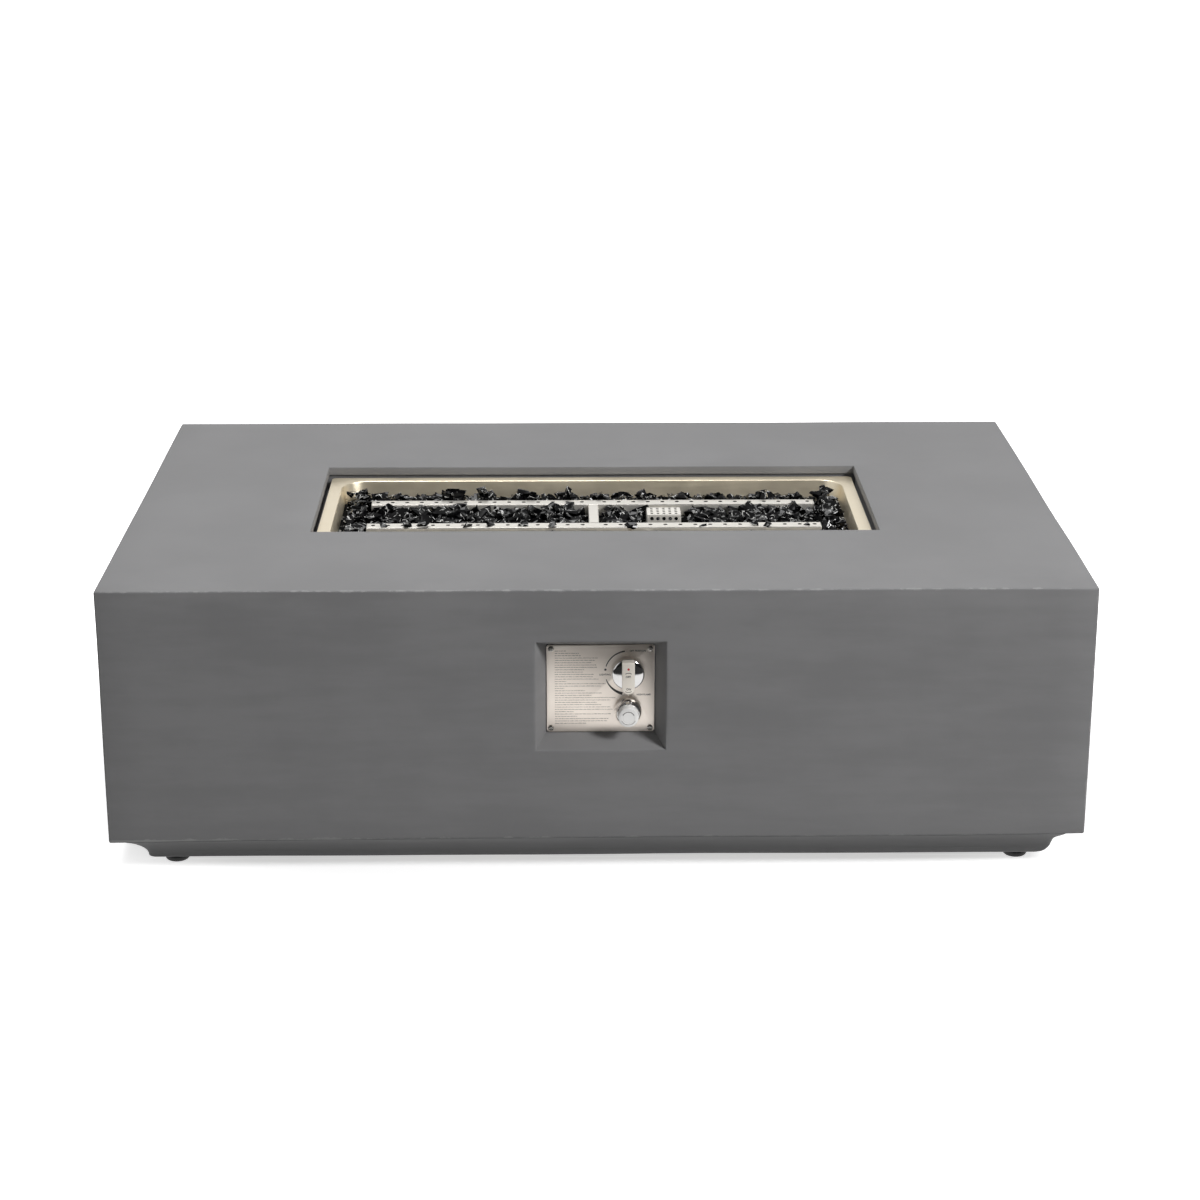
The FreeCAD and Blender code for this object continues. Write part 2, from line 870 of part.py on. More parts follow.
def burner_stands():
    """Four angle legs, each with its foot on the pan floor and its edge under a tube."""
    stands = []
    for x, y in mirrored_places(tube_length / 2 - stand_inset, tube_spacing / 2):
        side = 1 if y > 0 else -1
        half = stand_width / 2
        web_y = sorted((y, y + side * stand_thickness))
        foot_y = sorted((y, y + side * stand_foot))
        web = box(x - half, x + half, web_y[0], web_y[1], pan_floor, tube_bottom)
        foot = box(x - half, x + half, foot_y[0], foot_y[1], pan_floor, pan_floor + stand_thickness)
        stands.append(web.fuse(foot).removeSplitter())
    return group(stands)


def burner_inlet_nipple():
    bottom = mixer_top - mixer_engagement
    outline = [
        (nipple_bore_radius, bottom),
        (nipple_radius, bottom),
        (nipple_radius, pan_floor),
        (nipple_collar_radius, pan_floor),
        (nipple_collar_radius, pan_floor + nipple_collar_height),
        (nipple_radius, pan_floor + nipple_collar_height),
        (nipple_radius, cross_tube_bottom),
        (nipple_bore_radius, cross_tube_bottom),
    ]
    return turned(outline, V(0, 0, 0), UP)


def burner_lock_nut():
    nut = hexagon(lock_nut_flats, V(0, 0, pan_underside), DOWN, lock_nut_height)
    return nut.cut(rod(nipple_radius, V(0, 0, pan_underside), DOWN, lock_nut_height))


def air_mixer():
    """A turned mixer: the nipple screws in above, the jet below, and air enters by side windows."""
    chamber_top = mixer_top - mixer_engagement - mixer_shoulder
    chamber_bottom = chamber_top - mixer_chamber_height
    outline = [
        (nipple_radius, mixer_top),
        (nipple_radius, chamber_top),
        (mixer_chamber_radius, chamber_top),
        (mixer_chamber_radius, chamber_bottom),
        (jet_radius, chamber_bottom),
        (jet_radius, mixer_bottom),
        (mixer_radius - mixer_chamfer, mixer_bottom),
        (mixer_radius, mixer_bottom + mixer_chamfer),
        (mixer_radius, mixer_top),
    ]
    body = turned(outline, V(0, 0, 0), UP)
    level = (chamber_top + chamber_bottom) / 2
    across = 2 * mixer_radius
    windows = [
        rod(mixer_window_radius, V(-mixer_radius, 0, level), RIGHT, across, small_sides),
        rod(mixer_window_radius, V(0, -mixer_radius, level), BACK, across, small_sides),
    ]
    return body.cut(windows)


def jet_elbow():
    centre = V(0, 0, elbow_level)
    arm = rod(elbow_radius, centre + LEFT * elbow_radius, RIGHT, elbow_radius + elbow_reach)
    neck = rod(elbow_neck_radius, centre, UP, elbow_rise)
    jet = rod(jet_radius, centre, UP, elbow_rise + jet_engagement)
    bore = rod(feed_tube_radius - feed_tube_wall, centre, RIGHT, elbow_reach, small_sides)
    riser = rod(jet_bore_radius, centre, UP, elbow_rise + jet_engagement, small_sides)
    return arm.fuse([neck, jet]).cut([bore, riser])


def feed_tube_points():
    start = V(elbow_reach, 0, elbow_level)
    corner = V(feed_tube_run, 0, elbow_level)
    turn_back = V(feed_tube_run, boss_y, knob_z)
    end = V(control_x + valve_boss_reach, boss_y, knob_z)
    return [start, corner, turn_back, end]


def gas_feed_tube():
    points = feed_tube_points()
    bends = [feed_tube_bend, feed_tube_bend]
    outer = bent_rod("gas_feed_tube", feed_tube_radius, points, bends)
    inner = bent_rod("gas_feed_tube bore", feed_tube_radius - feed_tube_wall, points, bends)
    return outer.cut(inner)


def feed_tube_nuts():
    points = feed_tube_points()
    nuts = []
    for seat in (points[0], points[-1]):
        nut = hexagon(feed_nut_flats, seat, RIGHT, feed_nut_length)
        nuts.append(nut.cut(rod(feed_tube_radius, seat, RIGHT, feed_nut_length, small_sides)))
    return group(nuts)


def pilot_guard():
    """A folded cage over the sensors, open below, with holes in its top and front and two screw tabs."""
    x0 = guard_x - guard_length / 2
    x1 = guard_x + guard_length / 2
    y0 = guard_y - guard_width / 2
    y1 = guard_y + guard_width / 2
    t = guard_thickness
    cage = box(x0, x1, y0, y1, pan_floor, tube_top)
    tab_y0 = guard_y - guard_tab_width / 2
    tab_y1 = guard_y + guard_tab_width / 2
    tabs = box(x0 - guard_tab_length, x1 + guard_tab_length, tab_y0, tab_y1, pan_floor, pan_floor + t)
    inside = box(x0 + t, x1 - t, y0 + t, y1 - t, pan_floor, tube_top - t)
    holes = []
    for column in range(guard_hole_columns):
        x = guard_x + (column - (guard_hole_columns - 1) / 2) * guard_hole_pitch
        front_hole = V(x, y0 - t, tube_top - guard_front_hole_drop)
        holes.append(rod(guard_hole_radius, front_hole, BACK, 3 * t, guard_hole_sides))
        for row in range(guard_hole_rows):
            y = guard_y + (row - (guard_hole_rows - 1) / 2) * guard_hole_pitch
            holes.append(rod(guard_hole_radius, V(x, y, tube_top - 2 * t), UP, 3 * t, guard_hole_sides))
    holes += [rod(guard_screw_radius, V(x, y, pan_floor), UP, t, small_sides) for x, y in guard_screw_places()]
    return cage.fuse(tabs).cut([inside] + holes).removeSplitter()


def pilot_guard_screws():
    level = pan_floor + guard_thickness
    return group(
        [
            screw(
                guard_screw_radius,
                guard_screw_head_radius,
                guard_screw_head_height,
                guard_screw_length,
                V(x, y, level),
                DOWN,
            )
            for x, y in guard_screw_places()
        ]
    )


def sensor_bracket():
    """A bent strip whose shelf holds both sensors, with its two feet turned inward."""
    t = bracket_thickness
    half = bracket_span / 2
    y = guard_y - bracket_width / 2
    outline = [
        (-half, 0),
        (-half + bracket_foot, 0),
        (-half + bracket_foot, t),
        (-half + t, t),
        (-half + t, bracket_height - t),
        (half - t, bracket_height - t),
        (half - t, t),
        (half - bracket_foot, t),
        (half - bracket_foot, 0),
        (half, 0),
        (half, bracket_height),
        (-half, bracket_height),
    ]
    points = [V(guard_x + a, y, pan_floor + b) for a, b in outline]
    strip = Part.Face(Part.makePolygon(points + points[:1])).extrude(BACK * bracket_width)
    low = bracket_top - t
    holes = [
        rod(thermocouple_radius, V(thermocouple_x, guard_y, low), UP, t),
        rod(insulator_radius, V(electrode_x, guard_y, low), UP, t, small_sides),
    ]
    return strip.cut(holes)


def thermocouple():
    bottom = bracket_top - bracket_thickness - thermocouple_tail
    outline = [
        (0, bottom),
        (thermocouple_radius, bottom),
        (thermocouple_radius, bracket_top),
        (thermocouple_flange_radius, bracket_top),
        (thermocouple_flange_radius, bracket_top + thermocouple_flange_height),
        (thermocouple_radius, bracket_top + thermocouple_flange_height),
        (thermocouple_radius, sensor_top - thermocouple_tip_length),
        (thermocouple_tip_radius, sensor_top),
        (0, sensor_top),
    ]
    return turned(outline, V(thermocouple_x, guard_y, 0), UP)


def thermocouple_lead():
    level = elbow_level + lead_over_tube
    turn_y = boss_y * lead_turn_share
    points = [
        V(thermocouple_x, guard_y, bracket_top - bracket_thickness - thermocouple_tail),
        V(thermocouple_x, guard_y, level),
        V(thermocouple_x, turn_y, level),
        V(control_x, boss_y * lead_join_share, knob_z),
        V(control_x, magnet_end + lead_end_gap, knob_z),
    ]
    bends = [lead_down_bend, lead_side_bend, lead_side_bend]
    return bent_rod("thermocouple_lead", thermocouple_lead_radius, points, bends)


def thermocouple_nut():
    seat = V(control_x, magnet_end, knob_z)
    nut = hexagon(magnet_nut_flats, seat, BACK, magnet_nut_length)
    return nut.cut(rod(thermocouple_lead_radius, seat, BACK, magnet_nut_length, small_sides))


def electrode_insulator():
    outline = [
        (electrode_radius, insulator_bottom),
        (insulator_radius, insulator_bottom),
        (insulator_radius, bracket_top),
        (insulator_flange_radius, bracket_top),
        (insulator_flange_radius, bracket_top + insulator_flange_height),
        (insulator_radius, bracket_top + insulator_flange_height),
        (insulator_tip_radius, insulator_top),
        (electrode_radius, insulator_top),
    ]
    return turned(outline, V(electrode_x, guard_y, 0), UP, small_sides)


def electrode_rod():
    tip = insulator_top + electrode_rise
    points = [
        V(electrode_x, guard_y, insulator_bottom),
        V(electrode_x, guard_y, tip),
        V(electrode_x - electrode_reach, guard_y, tip),
    ]
    return bent_rod("electrode_rod", electrode_radius, points, [electrode_bend])


def ignition_wire():
    level = elbow_level - wire_under_tube
    points = [
        V(electrode_x, guard_y, insulator_bottom),
        V(electrode_x, guard_y, level),
        V(electrode_x, boss_y * wire_turn_share, level),
        V(control_x, boss_y * wire_join_share, igniter_z),
        V(control_x, housing_end + terminal_length, igniter_z),
    ]
    bends = [wire_down_bend, lead_side_bend, lead_side_bend]
    return bent_rod("ignition_wire", ignition_wire_radius, points, bends)


def lead_grommets():
    """Bushes that line the two lead holes, with a flange above and below the pan's floor."""
    grommets = []
    for (x, y), bore in zip(sensor_holes(), (thermocouple_lead_radius, ignition_wire_radius)):
        low = pan_underside - grommet_flange_thickness
        high = pan_floor + grommet_flange_thickness
        outline = [
            (bore, low),
            (grommet_flange_radius, low),
            (grommet_flange_radius, pan_underside),
            (grommet_radius, pan_underside),
            (grommet_radius, pan_floor),
            (grommet_flange_radius, pan_floor),
            (grommet_flange_radius, high),
            (bore, high),
        ]
        grommets.append(turned(outline, V(x, y, 0), UP, small_sides))
    return group(grommets)


def valve_screw_places():
    return [(control_x - valve_screw_offset, knob_z), (control_x + valve_screw_offset, knob_z)]


def control_plate():
    """The rounded face plate with its screw holes and the holes for the stem and the igniter."""
    flat = rounded_prism(plate_length, plate_height, plate_corner_radius, 0, plate_thickness)
    flat.Placement = FreeCAD.Placement(V(recess_offset, plate_back, recess_z), FreeCAD.Rotation(RIGHT, 90))
    screw_radius = plate_screw_radius + plate_hole_clearance
    igniter_radius = housing_radius + housing_hole_clearance
    holes = [
        rod(screw_radius, V(x, plate_front, z), BACK, plate_thickness, small_sides) for x, z in plate_screw_places()
    ]
    holes += [
        rod(valve_screw_radius, V(x, plate_front, z), BACK, plate_thickness, small_sides)
        for x, z in valve_screw_places()
    ]
    holes.append(rod(stem_hole_radius, V(control_x, plate_front, knob_z), BACK, plate_thickness))
    holes.append(rod(igniter_radius, V(control_x, plate_front, igniter_z), BACK, plate_thickness, fine_sides))
    return flat.cut(holes)


def plate_screws():
    return group(
        [
            screw(
                plate_screw_radius,
                plate_screw_head_radius,
                plate_screw_head_height,
                plate_screw_length,
                V(x, plate_front, z),
                BACK,
            )
            for x, z in plate_screw_places()
        ]
    )


def plate_inserts():
    outer = plate_screw_radius + plate_insert_wall
    return group(
        [
            tube(outer, plate_screw_radius, V(x, plate_back, z), BACK, plate_insert_length, small_sides)
            for x, z in plate_screw_places()
        ]
    )


def valve_body():
    """The valve's flange and barrel, its rotor bore, and side bosses for the gas in and out."""
    seat = V(control_x, plate_back, knob_z)
    outline = [
        (0, 0),
        (valve_flange_radius, 0),
        (valve_flange_radius, valve_flange_thickness),
        (valve_radius, valve_flange_thickness),
        (valve_radius, valve_flange_thickness + valve_length - valve_chamfer),
        (valve_radius - valve_chamfer, valve_flange_thickness + valve_length),
        (0, valve_flange_thickness + valve_length),
    ]
    barrel = turned(outline, seat, BACK)
    centre = V(control_x, boss_y, knob_z)
    bosses = rod(valve_boss_radius, centre + LEFT * valve_boss_reach, RIGHT, 2 * valve_boss_reach)
    bore_radius = rotor_radius + rotor_clearance
    bore = shaft(bore_radius, seat, BACK, rotor_end + rotor_end_gap - plate_back)
    screws = [
        rod(valve_screw_radius, V(x, plate_back, z), BACK, valve_flange_thickness, small_sides)
        for x, z in valve_screw_places()
    ]
    return barrel.fuse(bosses).cut([bore] + screws)


def valve_mounting_screws():
    length = plate_thickness + valve_flange_thickness
    return group(
        [
            screw(
                valve_screw_radius,
                valve_screw_head_radius,
                valve_screw_head_height,
                length,
                V(x, plate_front, z),
                BACK,
            )
            for x, z in valve_screw_places()
        ]
    )


def valve_rotor():
    start = V(control_x, plate_back + rotor_end_gap, knob_z)
    length = rotor_end - start.y
    socket = hexagon(stem_flats + 2 * stem_clearance, start, BACK, rotor_socket_end - start.y)
    return shaft(rotor_radius, start, BACK, length).cut(socket)


def valve_stem():
    return hexagon(stem_flats, V(control_x, stem_front, knob_z), BACK, stem_length)


def stem_spring():
    outer = stem_flats / 2 - spring_clearance
    return tube(outer, outer - spring_wall, V(control_x, stem_end, knob_z), BACK, stem_spring_length)


def control_knob():
    """A chrome disc with a straight bar handle, square at its top end and round at its lower end."""
    back = V(control_x, disc_back, knob_z)
    outline = [
        (0, 0),
        (knob_radius - knob_disc_chamfer, 0),
        (knob_radius, knob_disc_chamfer),
        (knob_radius, knob_disc_thickness - knob_disc_chamfer),
        (knob_radius - knob_disc_chamfer, knob_disc_thickness),
        (0, knob_disc_thickness),
    ]
    disc = turned(outline, back, FRONT, fine_sides)
    half_width = knob_handle_width / 2
    half_length = knob_handle_length / 2
    round_z = knob_z - half_length + half_width
    right_low = V(control_x + half_width, disc_front, round_z)
    right_high = V(control_x + half_width, disc_front, knob_z + half_length)
    left_high = V(control_x - half_width, disc_front, knob_z + half_length)
    left_low = V(control_x - half_width, disc_front, round_z)
    sides = Part.makePolygon([right_low, right_high, left_high, left_low])
    end = Part.Arc(left_low, V(control_x, disc_front, knob_z - half_length), right_low).toShape()
    handle = Part.Face(Part.Wire([sides, end])).extrude(FRONT * knob_handle_depth)
    socket = hexagon(stem_flats, V(control_x, stem_front, knob_z), BACK, stem_grip)
    return disc.fuse(handle).cut(socket)


def safety_magnet():
    return rod(magnet_radius, V(control_x, valve_end, knob_z), BACK, magnet_length)


def gas_inlet_fitting():
    """The inlet elbow: an arm from the valve's left boss and a flare thread that points down."""
    corner = V(inlet_x, boss_y, knob_z)
    arm = rod(inlet_body_radius, corner + LEFT * inlet_end_length, RIGHT, inlet_reach + inlet_end_length)
    leg = rod(inlet_body_radius, corner, DOWN, inlet_hex_drop)
    hexagon_body = hexagon(inlet_hex_flats, corner + DOWN * inlet_hex_drop, DOWN, inlet_hex_height)
    thread = shaft(inlet_thread_radius, V(inlet_x, boss_y, inlet_thread_top), DOWN, inlet_thread_length)
    nose_top = V(inlet_x, boss_y, inlet_thread_top - inlet_thread_length)
    outline = [
        (0, 0),
        (inlet_thread_radius, 0),
        (inlet_nose_radius, inlet_nose_length),
        (0, inlet_nose_length),
    ]
    nose = turned(outline, nose_top, DOWN)
    bore_length = knob_z - nose_top.z + inlet_nose_length
    bore = rod(inlet_bore_radius, corner, DOWN, bore_length)
    side_bore = rod(inlet_bore_radius, corner, RIGHT, inlet_reach)
    return arm.fuse([leg, hexagon_body, thread, nose]).cut([bore, side_bore])


def igniter_housing():
    """The igniter's tube: a flange in front of the plate, a battery bore and a rear terminal."""
    flange_front = plate_front - housing_flange_thickness - housing_front_end
    flange_back = plate_front - housing_front_end
    bore_end = housing_length - housing_end_thickness
    outline = [
        (housing_bore_radius, 0),
        (housing_radius, 0),
        (housing_radius, flange_front),
        (housing_flange_radius, flange_front),
        (housing_flange_radius, flange_back),
        (housing_radius, flange_back),
        (housing_radius, housing_length),
        (terminal_radius, housing_length),
        (terminal_radius, housing_length + terminal_length),
        (0, housing_length + terminal_length),
        (0, bore_end),
        (housing_bore_radius, bore_end),
    ]
    return turned(outline, V(control_x, housing_front_end, igniter_z), BACK, fine_sides)


def igniter_lock_nut():
    seat = V(control_x, plate_back, igniter_z)
    nut = hexagon(igniter_nut_flats, seat, BACK, igniter_nut_length)
    return nut.cut(rod(housing_radius, seat, BACK, igniter_nut_length, fine_sides))


def igniter_battery():
    outline = [
        (0, 0),
        (battery_nub_radius, 0),
        (battery_nub_radius, battery_nub_length),
        (battery_radius, battery_nub_length),
        (battery_radius, battery_nub_length + battery_length),
        (0, battery_nub_length + battery_length),
    ]
    return turned(outline, V(control_x, battery_front, igniter_z), BACK)


def igniter_collar():
    """The domed chrome collar, threaded behind on the housing and open in front for the button."""
    thread = housing_radius + collar_thread_clearance
    mouth = button_radius + collar_button_clearance
    seat = collar_back - guide_back
    outline = [
        (thread, 0),
        (collar_base_radius, 0),
        (collar_base_radius, collar_base_height),
        (collar_shoulder_radius, collar_shoulder_height),
        (collar_front_radius, collar_length),
        (mouth, collar_length),
        (mouth, seat),
        (thread, seat),
    ]
    return turned(outline, V(control_x, collar_back, igniter_z), FRONT, fine_sides)


def button_guide():
    """A disc fixed in the collar, with a hub that guides the button's contact pin."""
    outer = button_radius + collar_button_clearance
    inner = pin_radius + pin_clearance
    hub = inner + guide_hub_wall
    hub_front = guide_thickness + guide_hub_length
    outline = [
        (inner, 0),
        (outer, 0),
        (outer, guide_thickness),
        (hub, guide_thickness),
        (hub, hub_front),
        (inner, hub_front),
    ]
    return turned(outline, V(control_x, guide_back, igniter_z), FRONT, fine_sides)


def igniter_button():
    """A cup-shaped push button with its skirt inside the collar."""
    length = button_back - button_front
    inside = length - button_face
    inner = button_radius - button_wall
    outline = [
        (inner, 0),
        (button_radius, 0),
        (button_radius, length - button_chamfer),
        (button_radius - button_chamfer, length),
        (0, length),
        (0, inside),
        (inner, inside),
    ]
    return turned(outline, V(control_x, button_back, igniter_z), FRONT, fine_sides)


def contact_pin():
    front = button_front + button_face
    length = battery_front - pin_battery_gap - front
    return rod(pin_radius, V(control_x, front, igniter_z), BACK, length)


def button_spring():
    front = button_front + button_face
    length = guide_back - guide_thickness - front
    inner = button_spring_radius - spring_wall
    return tube(button_spring_radius, inner, V(control_x, front, igniter_z), BACK, length)


def glass_keep_outs():
    """The room that the burner, its stands and the guard take up in the glass."""
    gap = glass_gap
    half = tube_length / 2 + gap
    rooms = []
    for side in (-1, 1):
        centre = side * tube_spacing / 2
        reach = tube_size / 2 + gap
        rooms.append(box(-half, half, centre - reach, centre + reach, tube_bottom - gap, bed_top))
    for x, y in mirrored_places(tube_length / 2 - stand_inset, tube_spacing / 2):
        reach = stand_width / 2 + gap
        y0, y1 = sorted((y * (1 - gap / abs(y)), y + math.copysign(stand_foot + gap, y)))
        rooms.append(box(x - reach, x + reach, y0, y1, pan_floor, tube_bottom))
    rooms.append(rod(nipple_collar_radius + gap, V(0, 0, pan_floor), UP, glass_height))
    half_x = guard_length / 2 + gap
    half_y = guard_width / 2 + gap
    x, y = guard_x, guard_y
    rooms.append(box(x - half_x, x + half_x, y - half_y, y + half_y, pan_floor, bed_top))
    tab_x = guard_length / 2 + guard_tab_length + gap
    tab_y = guard_tab_width / 2 + gap
    tab_top = pan_floor + guard_thickness + guard_screw_head_height + gap
    rooms.append(box(x - tab_x, x + tab_x, y - tab_y, y + tab_y, pan_floor, tab_top))
    return rooms


def fire_glass_bed():
    """The packed glass up to its mean surface, with room for what stands in it."""
    half_x = pan_length / 2
    half_y = pan_width / 2
    fill = pan_stack(pan_outline(glass_gap, pan_floor))
    fill = fill.common(box(-half_x, half_x, -half_y, half_y, pan_floor, bed_top))
    return fill.cut(glass_keep_outs()).removeSplitter()


def scatter(index, salt):
    """A repeatable number from 0 to 1 for one piece and one purpose."""
    value = math.sin(index * scatter_index_factor + salt * scatter_salt_factor) * scatter_spread
    return value - math.floor(value)


def spread(bounds, index, salt):
    low, high = bounds
    return low + (high - low) * scatter(index, salt)


def glass_piece(x, y, reach, index):
    """A crushed lump: a small base on the bed, a wider waist and an off-centre peak."""
    turn = 2 * math.pi * scatter(index, 1)
    base = []
    waist = []
    for corner in range(glass_corners):
        salt = glass_salt_step * (corner + 1)
        angle = turn + 2 * math.pi / glass_corners * (corner + spread(glass_skew_range, index, salt))
        outward = V(math.cos(angle), math.sin(angle), 0) * reach
        foot = V(x, y, bed_top)
        base.append(foot + outward * spread(glass_base_range, index, salt + 1))
        rise = UP * reach * spread(glass_waist_rise_range, index, salt + 2)
        waist.append(foot + outward * spread(glass_waist_range, index, salt + 3) + rise)
    peak_x = x + reach * spread(glass_lean_range, index, 2)
    peak_y = y + reach * spread(glass_lean_range, index, 3)
    peak = V(peak_x, peak_y, bed_top + spread((glass_peak_low, glass_peak_high), index, 4))
    faces = [Part.Face(Part.makePolygon(base + base[:1]))]
    for corner in range(glass_corners):
        following = (corner + 1) % glass_corners
        triangles = [
            (base[corner], base[following], waist[following]),
            (base[corner], waist[following], waist[corner]),
            (waist[corner], waist[following], peak),
        ]
        faces += [Part.Face(Part.makePolygon(list(three) + [three[0]])) for three in triangles]
    return closed_solid(faces)


def glass_strips():
    """Rectangles of open bed: behind, between and before the tubes, and beyond their ends."""
    wall_lean = pan_draft * (flange_top - bed_top) / pan_depth + glass_gap
    far_x = pan_length / 2 - wall_lean
    far_y = pan_width / 2 - wall_lean
    near = tube_inner_face - glass_gap
    outer = tube_inner_face + tube_size + glass_gap
    end = tube_length / 2 + glass_gap
    strips = [(-far_x, far_x, outer, far_y), (-far_x, far_x, -near, near), (-far_x, far_x, -far_y, -outer)]
    for low, high in ((near, outer), (-outer, -near)):
        strips.append((end, far_x, low, high))
        strips.append((-far_x, -end, low, high))
    return strips


def glass_fits(x, y, reach):
    """Whether a piece of this reach clears the cross tube, the guard and the pan's round corners."""
    if abs(y) < tube_inner_face and abs(x) < cross_tube_width / 2 + reach:
        return False
    if abs(x - guard_x) < guard_length / 2 + reach and abs(y - guard_y) < guard_width / 2 + reach:
        return False
    corner_x = abs(x) - (pan_length / 2 - pan_corner_radius)
    corner_y = abs(y) - (pan_width / 2 - pan_corner_radius)
    if corner_x > 0 and corner_y > 0:
        wall_lean = pan_draft * (flange_top - bed_top) / pan_depth
        return math.hypot(corner_x, corner_y) + reach < pan_corner_radius - wall_lean
    return True


def fire_glass_pieces():
    pieces = []
    index = 0
    for x0, x1, y0, y1 in glass_strips():
        columns = max(1, round((x1 - x0) / glass_cell))
        rows = max(1, round((y1 - y0) / glass_cell))
        cell_x = (x1 - x0) / columns
        cell_y = (y1 - y0) / rows
        cell = min(cell_x, cell_y)
        for column in range(columns):
            for row in range(rows):
                index += 1
                reach = cell * spread(glass_reach_range, index, 5)
                x = x0 + cell_x * (column + 0.5) + cell * spread(glass_shift_range, index, 6)
                y = y0 + cell_y * (row + 0.5) + cell * spread(glass_shift_range, index, 0)
                if glass_fits(x, y, reach + glass_gap):
                    pieces.append(glass_piece(x, y, reach, index))
    return group(pieces)


def all_nodes():
    nodes = {
        "body_shell": body_shell(),
        "plinth_ring": plinth_ring(),
        "foot_inserts": foot_inserts(),
        "base_cleats": base_cleats(),
        "cleat_screws": cleat_screws(),
        "burner_pan": burner_pan(),
        "burner_tube_front": burner_tube(-1),
        "burner_tube_rear": burner_tube(1),
        "burner_cross_tube": burner_cross_tube(),
        "burner_end_caps": burner_end_caps(),
        "burner_stands": burner_stands(),
        "burner_inlet_nipple": burner_inlet_nipple(),
        "burner_lock_nut": burner_lock_nut(),
        "air_mixer": air_mixer(),
        "jet_elbow": jet_elbow(),
        "gas_feed_tube": gas_feed_tube(),
        "feed_tube_nuts": feed_tube_nuts(),
        "pilot_guard": pilot_guard(),
        "pilot_guard_screws": pilot_guard_screws(),
        "sensor_bracket": sensor_bracket(),
        "thermocouple": thermocouple(),
        "thermocouple_lead": thermocouple_lead(),
        "thermocouple_nut": thermocouple_nut(),
        "electrode_insulator": electrode_insulator(),
        "electrode_rod": electrode_rod(),
        "ignition_wire": ignition_wire(),
        "lead_grommets": lead_grommets(),
        "control_plate": control_plate(),
        "plate_screws": plate_screws(),
        "plate_inserts": plate_inserts(),
        "valve_body": valve_body(),
        "valve_mounting_screws": valve_mounting_screws(),
        "safety_magnet": safety_magnet(),
        "gas_inlet_fitting": gas_inlet_fitting(),
        "valve_rotor": valve_rotor(),
        "control_knob": control_knob(),
        "valve_stem": valve_stem(),
        "stem_spring": stem_spring(),
        "igniter_housing": igniter_housing(),
        "igniter_lock_nut": igniter_lock_nut(),
        "igniter_battery": igniter_battery(),
        "igniter_collar": igniter_collar(),
        "button_guide": button_guide(),
        "igniter_button": igniter_button(),
        "contact_pin": contact_pin(),
        "button_spring": button_spring(),
        "fire_glass_bed": fire_glass_bed(),
        "fire_glass_pieces": fire_glass_pieces(),
    }
    for name, (x, y) in foot_places().items():
        nodes[name] = levelling_foot(x, y)
    return nodes


os.makedirs("parts", exist_ok=True)
for node, shape in all_nodes().items():
    shape.exportStep(os.path.join("parts", node + ".step"))
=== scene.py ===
"""Looks of the gas fire pit table: cast box and plinth, burner pan with crushed glass, and control panel.

Metres. The origin is on the floor under the middle of the table, X runs to the right, Y to the back
and Z up. The control panel faces the front, at the negative end of Y.
"""

import math
import random

import bmesh
import bpy
from bmesh.types import BMEdge, BMVert
from bpy.props import FloatProperty, FloatVectorProperty, IntProperty, PointerProperty
from mathutils import Matrix, Vector, noise


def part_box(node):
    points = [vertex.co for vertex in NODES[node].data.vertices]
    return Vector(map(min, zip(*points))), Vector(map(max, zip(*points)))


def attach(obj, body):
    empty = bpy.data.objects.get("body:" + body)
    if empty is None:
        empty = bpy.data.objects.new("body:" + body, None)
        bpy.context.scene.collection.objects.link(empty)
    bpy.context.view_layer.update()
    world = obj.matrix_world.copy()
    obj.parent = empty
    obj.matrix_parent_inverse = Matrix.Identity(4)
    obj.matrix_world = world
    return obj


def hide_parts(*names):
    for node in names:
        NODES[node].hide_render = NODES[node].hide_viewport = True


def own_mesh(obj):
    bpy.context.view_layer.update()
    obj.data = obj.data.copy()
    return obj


bl_info = {
    "name": "Fire Pit Table",
    "version": (1, 0, 0),
    "blender": (4, 5, 0),
    "location": "View3D > Sidebar > Fire Pit",
    "description": "Builds the looks of a gas fire pit table around its packed model",
    "category": "Add Mesh",
}

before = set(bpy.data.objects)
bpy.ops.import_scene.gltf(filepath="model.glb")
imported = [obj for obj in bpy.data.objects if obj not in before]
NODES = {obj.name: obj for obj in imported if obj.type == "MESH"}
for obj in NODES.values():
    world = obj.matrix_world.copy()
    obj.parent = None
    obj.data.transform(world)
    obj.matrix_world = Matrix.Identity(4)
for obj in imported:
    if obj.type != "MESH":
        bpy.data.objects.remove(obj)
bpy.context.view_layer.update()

BACK = Vector((0, 1, 0))
FRONT = Vector((0, -1, 0))
UP = Vector((0, 0, 1))
WAYS = (-1, 1)
QUARTER = math.pi / 2
ON_PLANE = 1e-5  # how far off a plane a point may lie and still belong to it
PRINT_LIFT = 0.00005  # how far printed marks stand proud of the metal


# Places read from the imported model


def low(node):
    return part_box(node)[0]


def high(node):
    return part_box(node)[1]


def middle(node):
    lowest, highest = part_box(node)
    return (lowest + highest) / 2


def half_size(node):
    lowest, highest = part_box(node)
    return (highest - lowest) / 2


# Settings


def number_of(name, description, default, smallest=0.0, largest=1000.0, **kind):
    limits = {"min": smallest, "max": largest}
    return FloatProperty(name=name, description=description, default=default, **limits, **kind)


def length_of(name, description, default, smallest=0.0, largest=1.0):
    kind = {"unit": "LENGTH", "subtype": "DISTANCE", "precision": 4}
    return number_of(name, description, default, smallest, largest, **kind)


def colour_of(name, description, default):
    kind = {"size": 3, "min": 0.0, "max": 1.0, "subtype": "COLOR"}
    return FloatVectorProperty(name=name, description=description, default=default, **kind)


def count_of(name, description, default, smallest=0, largest=4000):
    return IntProperty(name=name, description=description, default=default, min=smallest, max=largest)


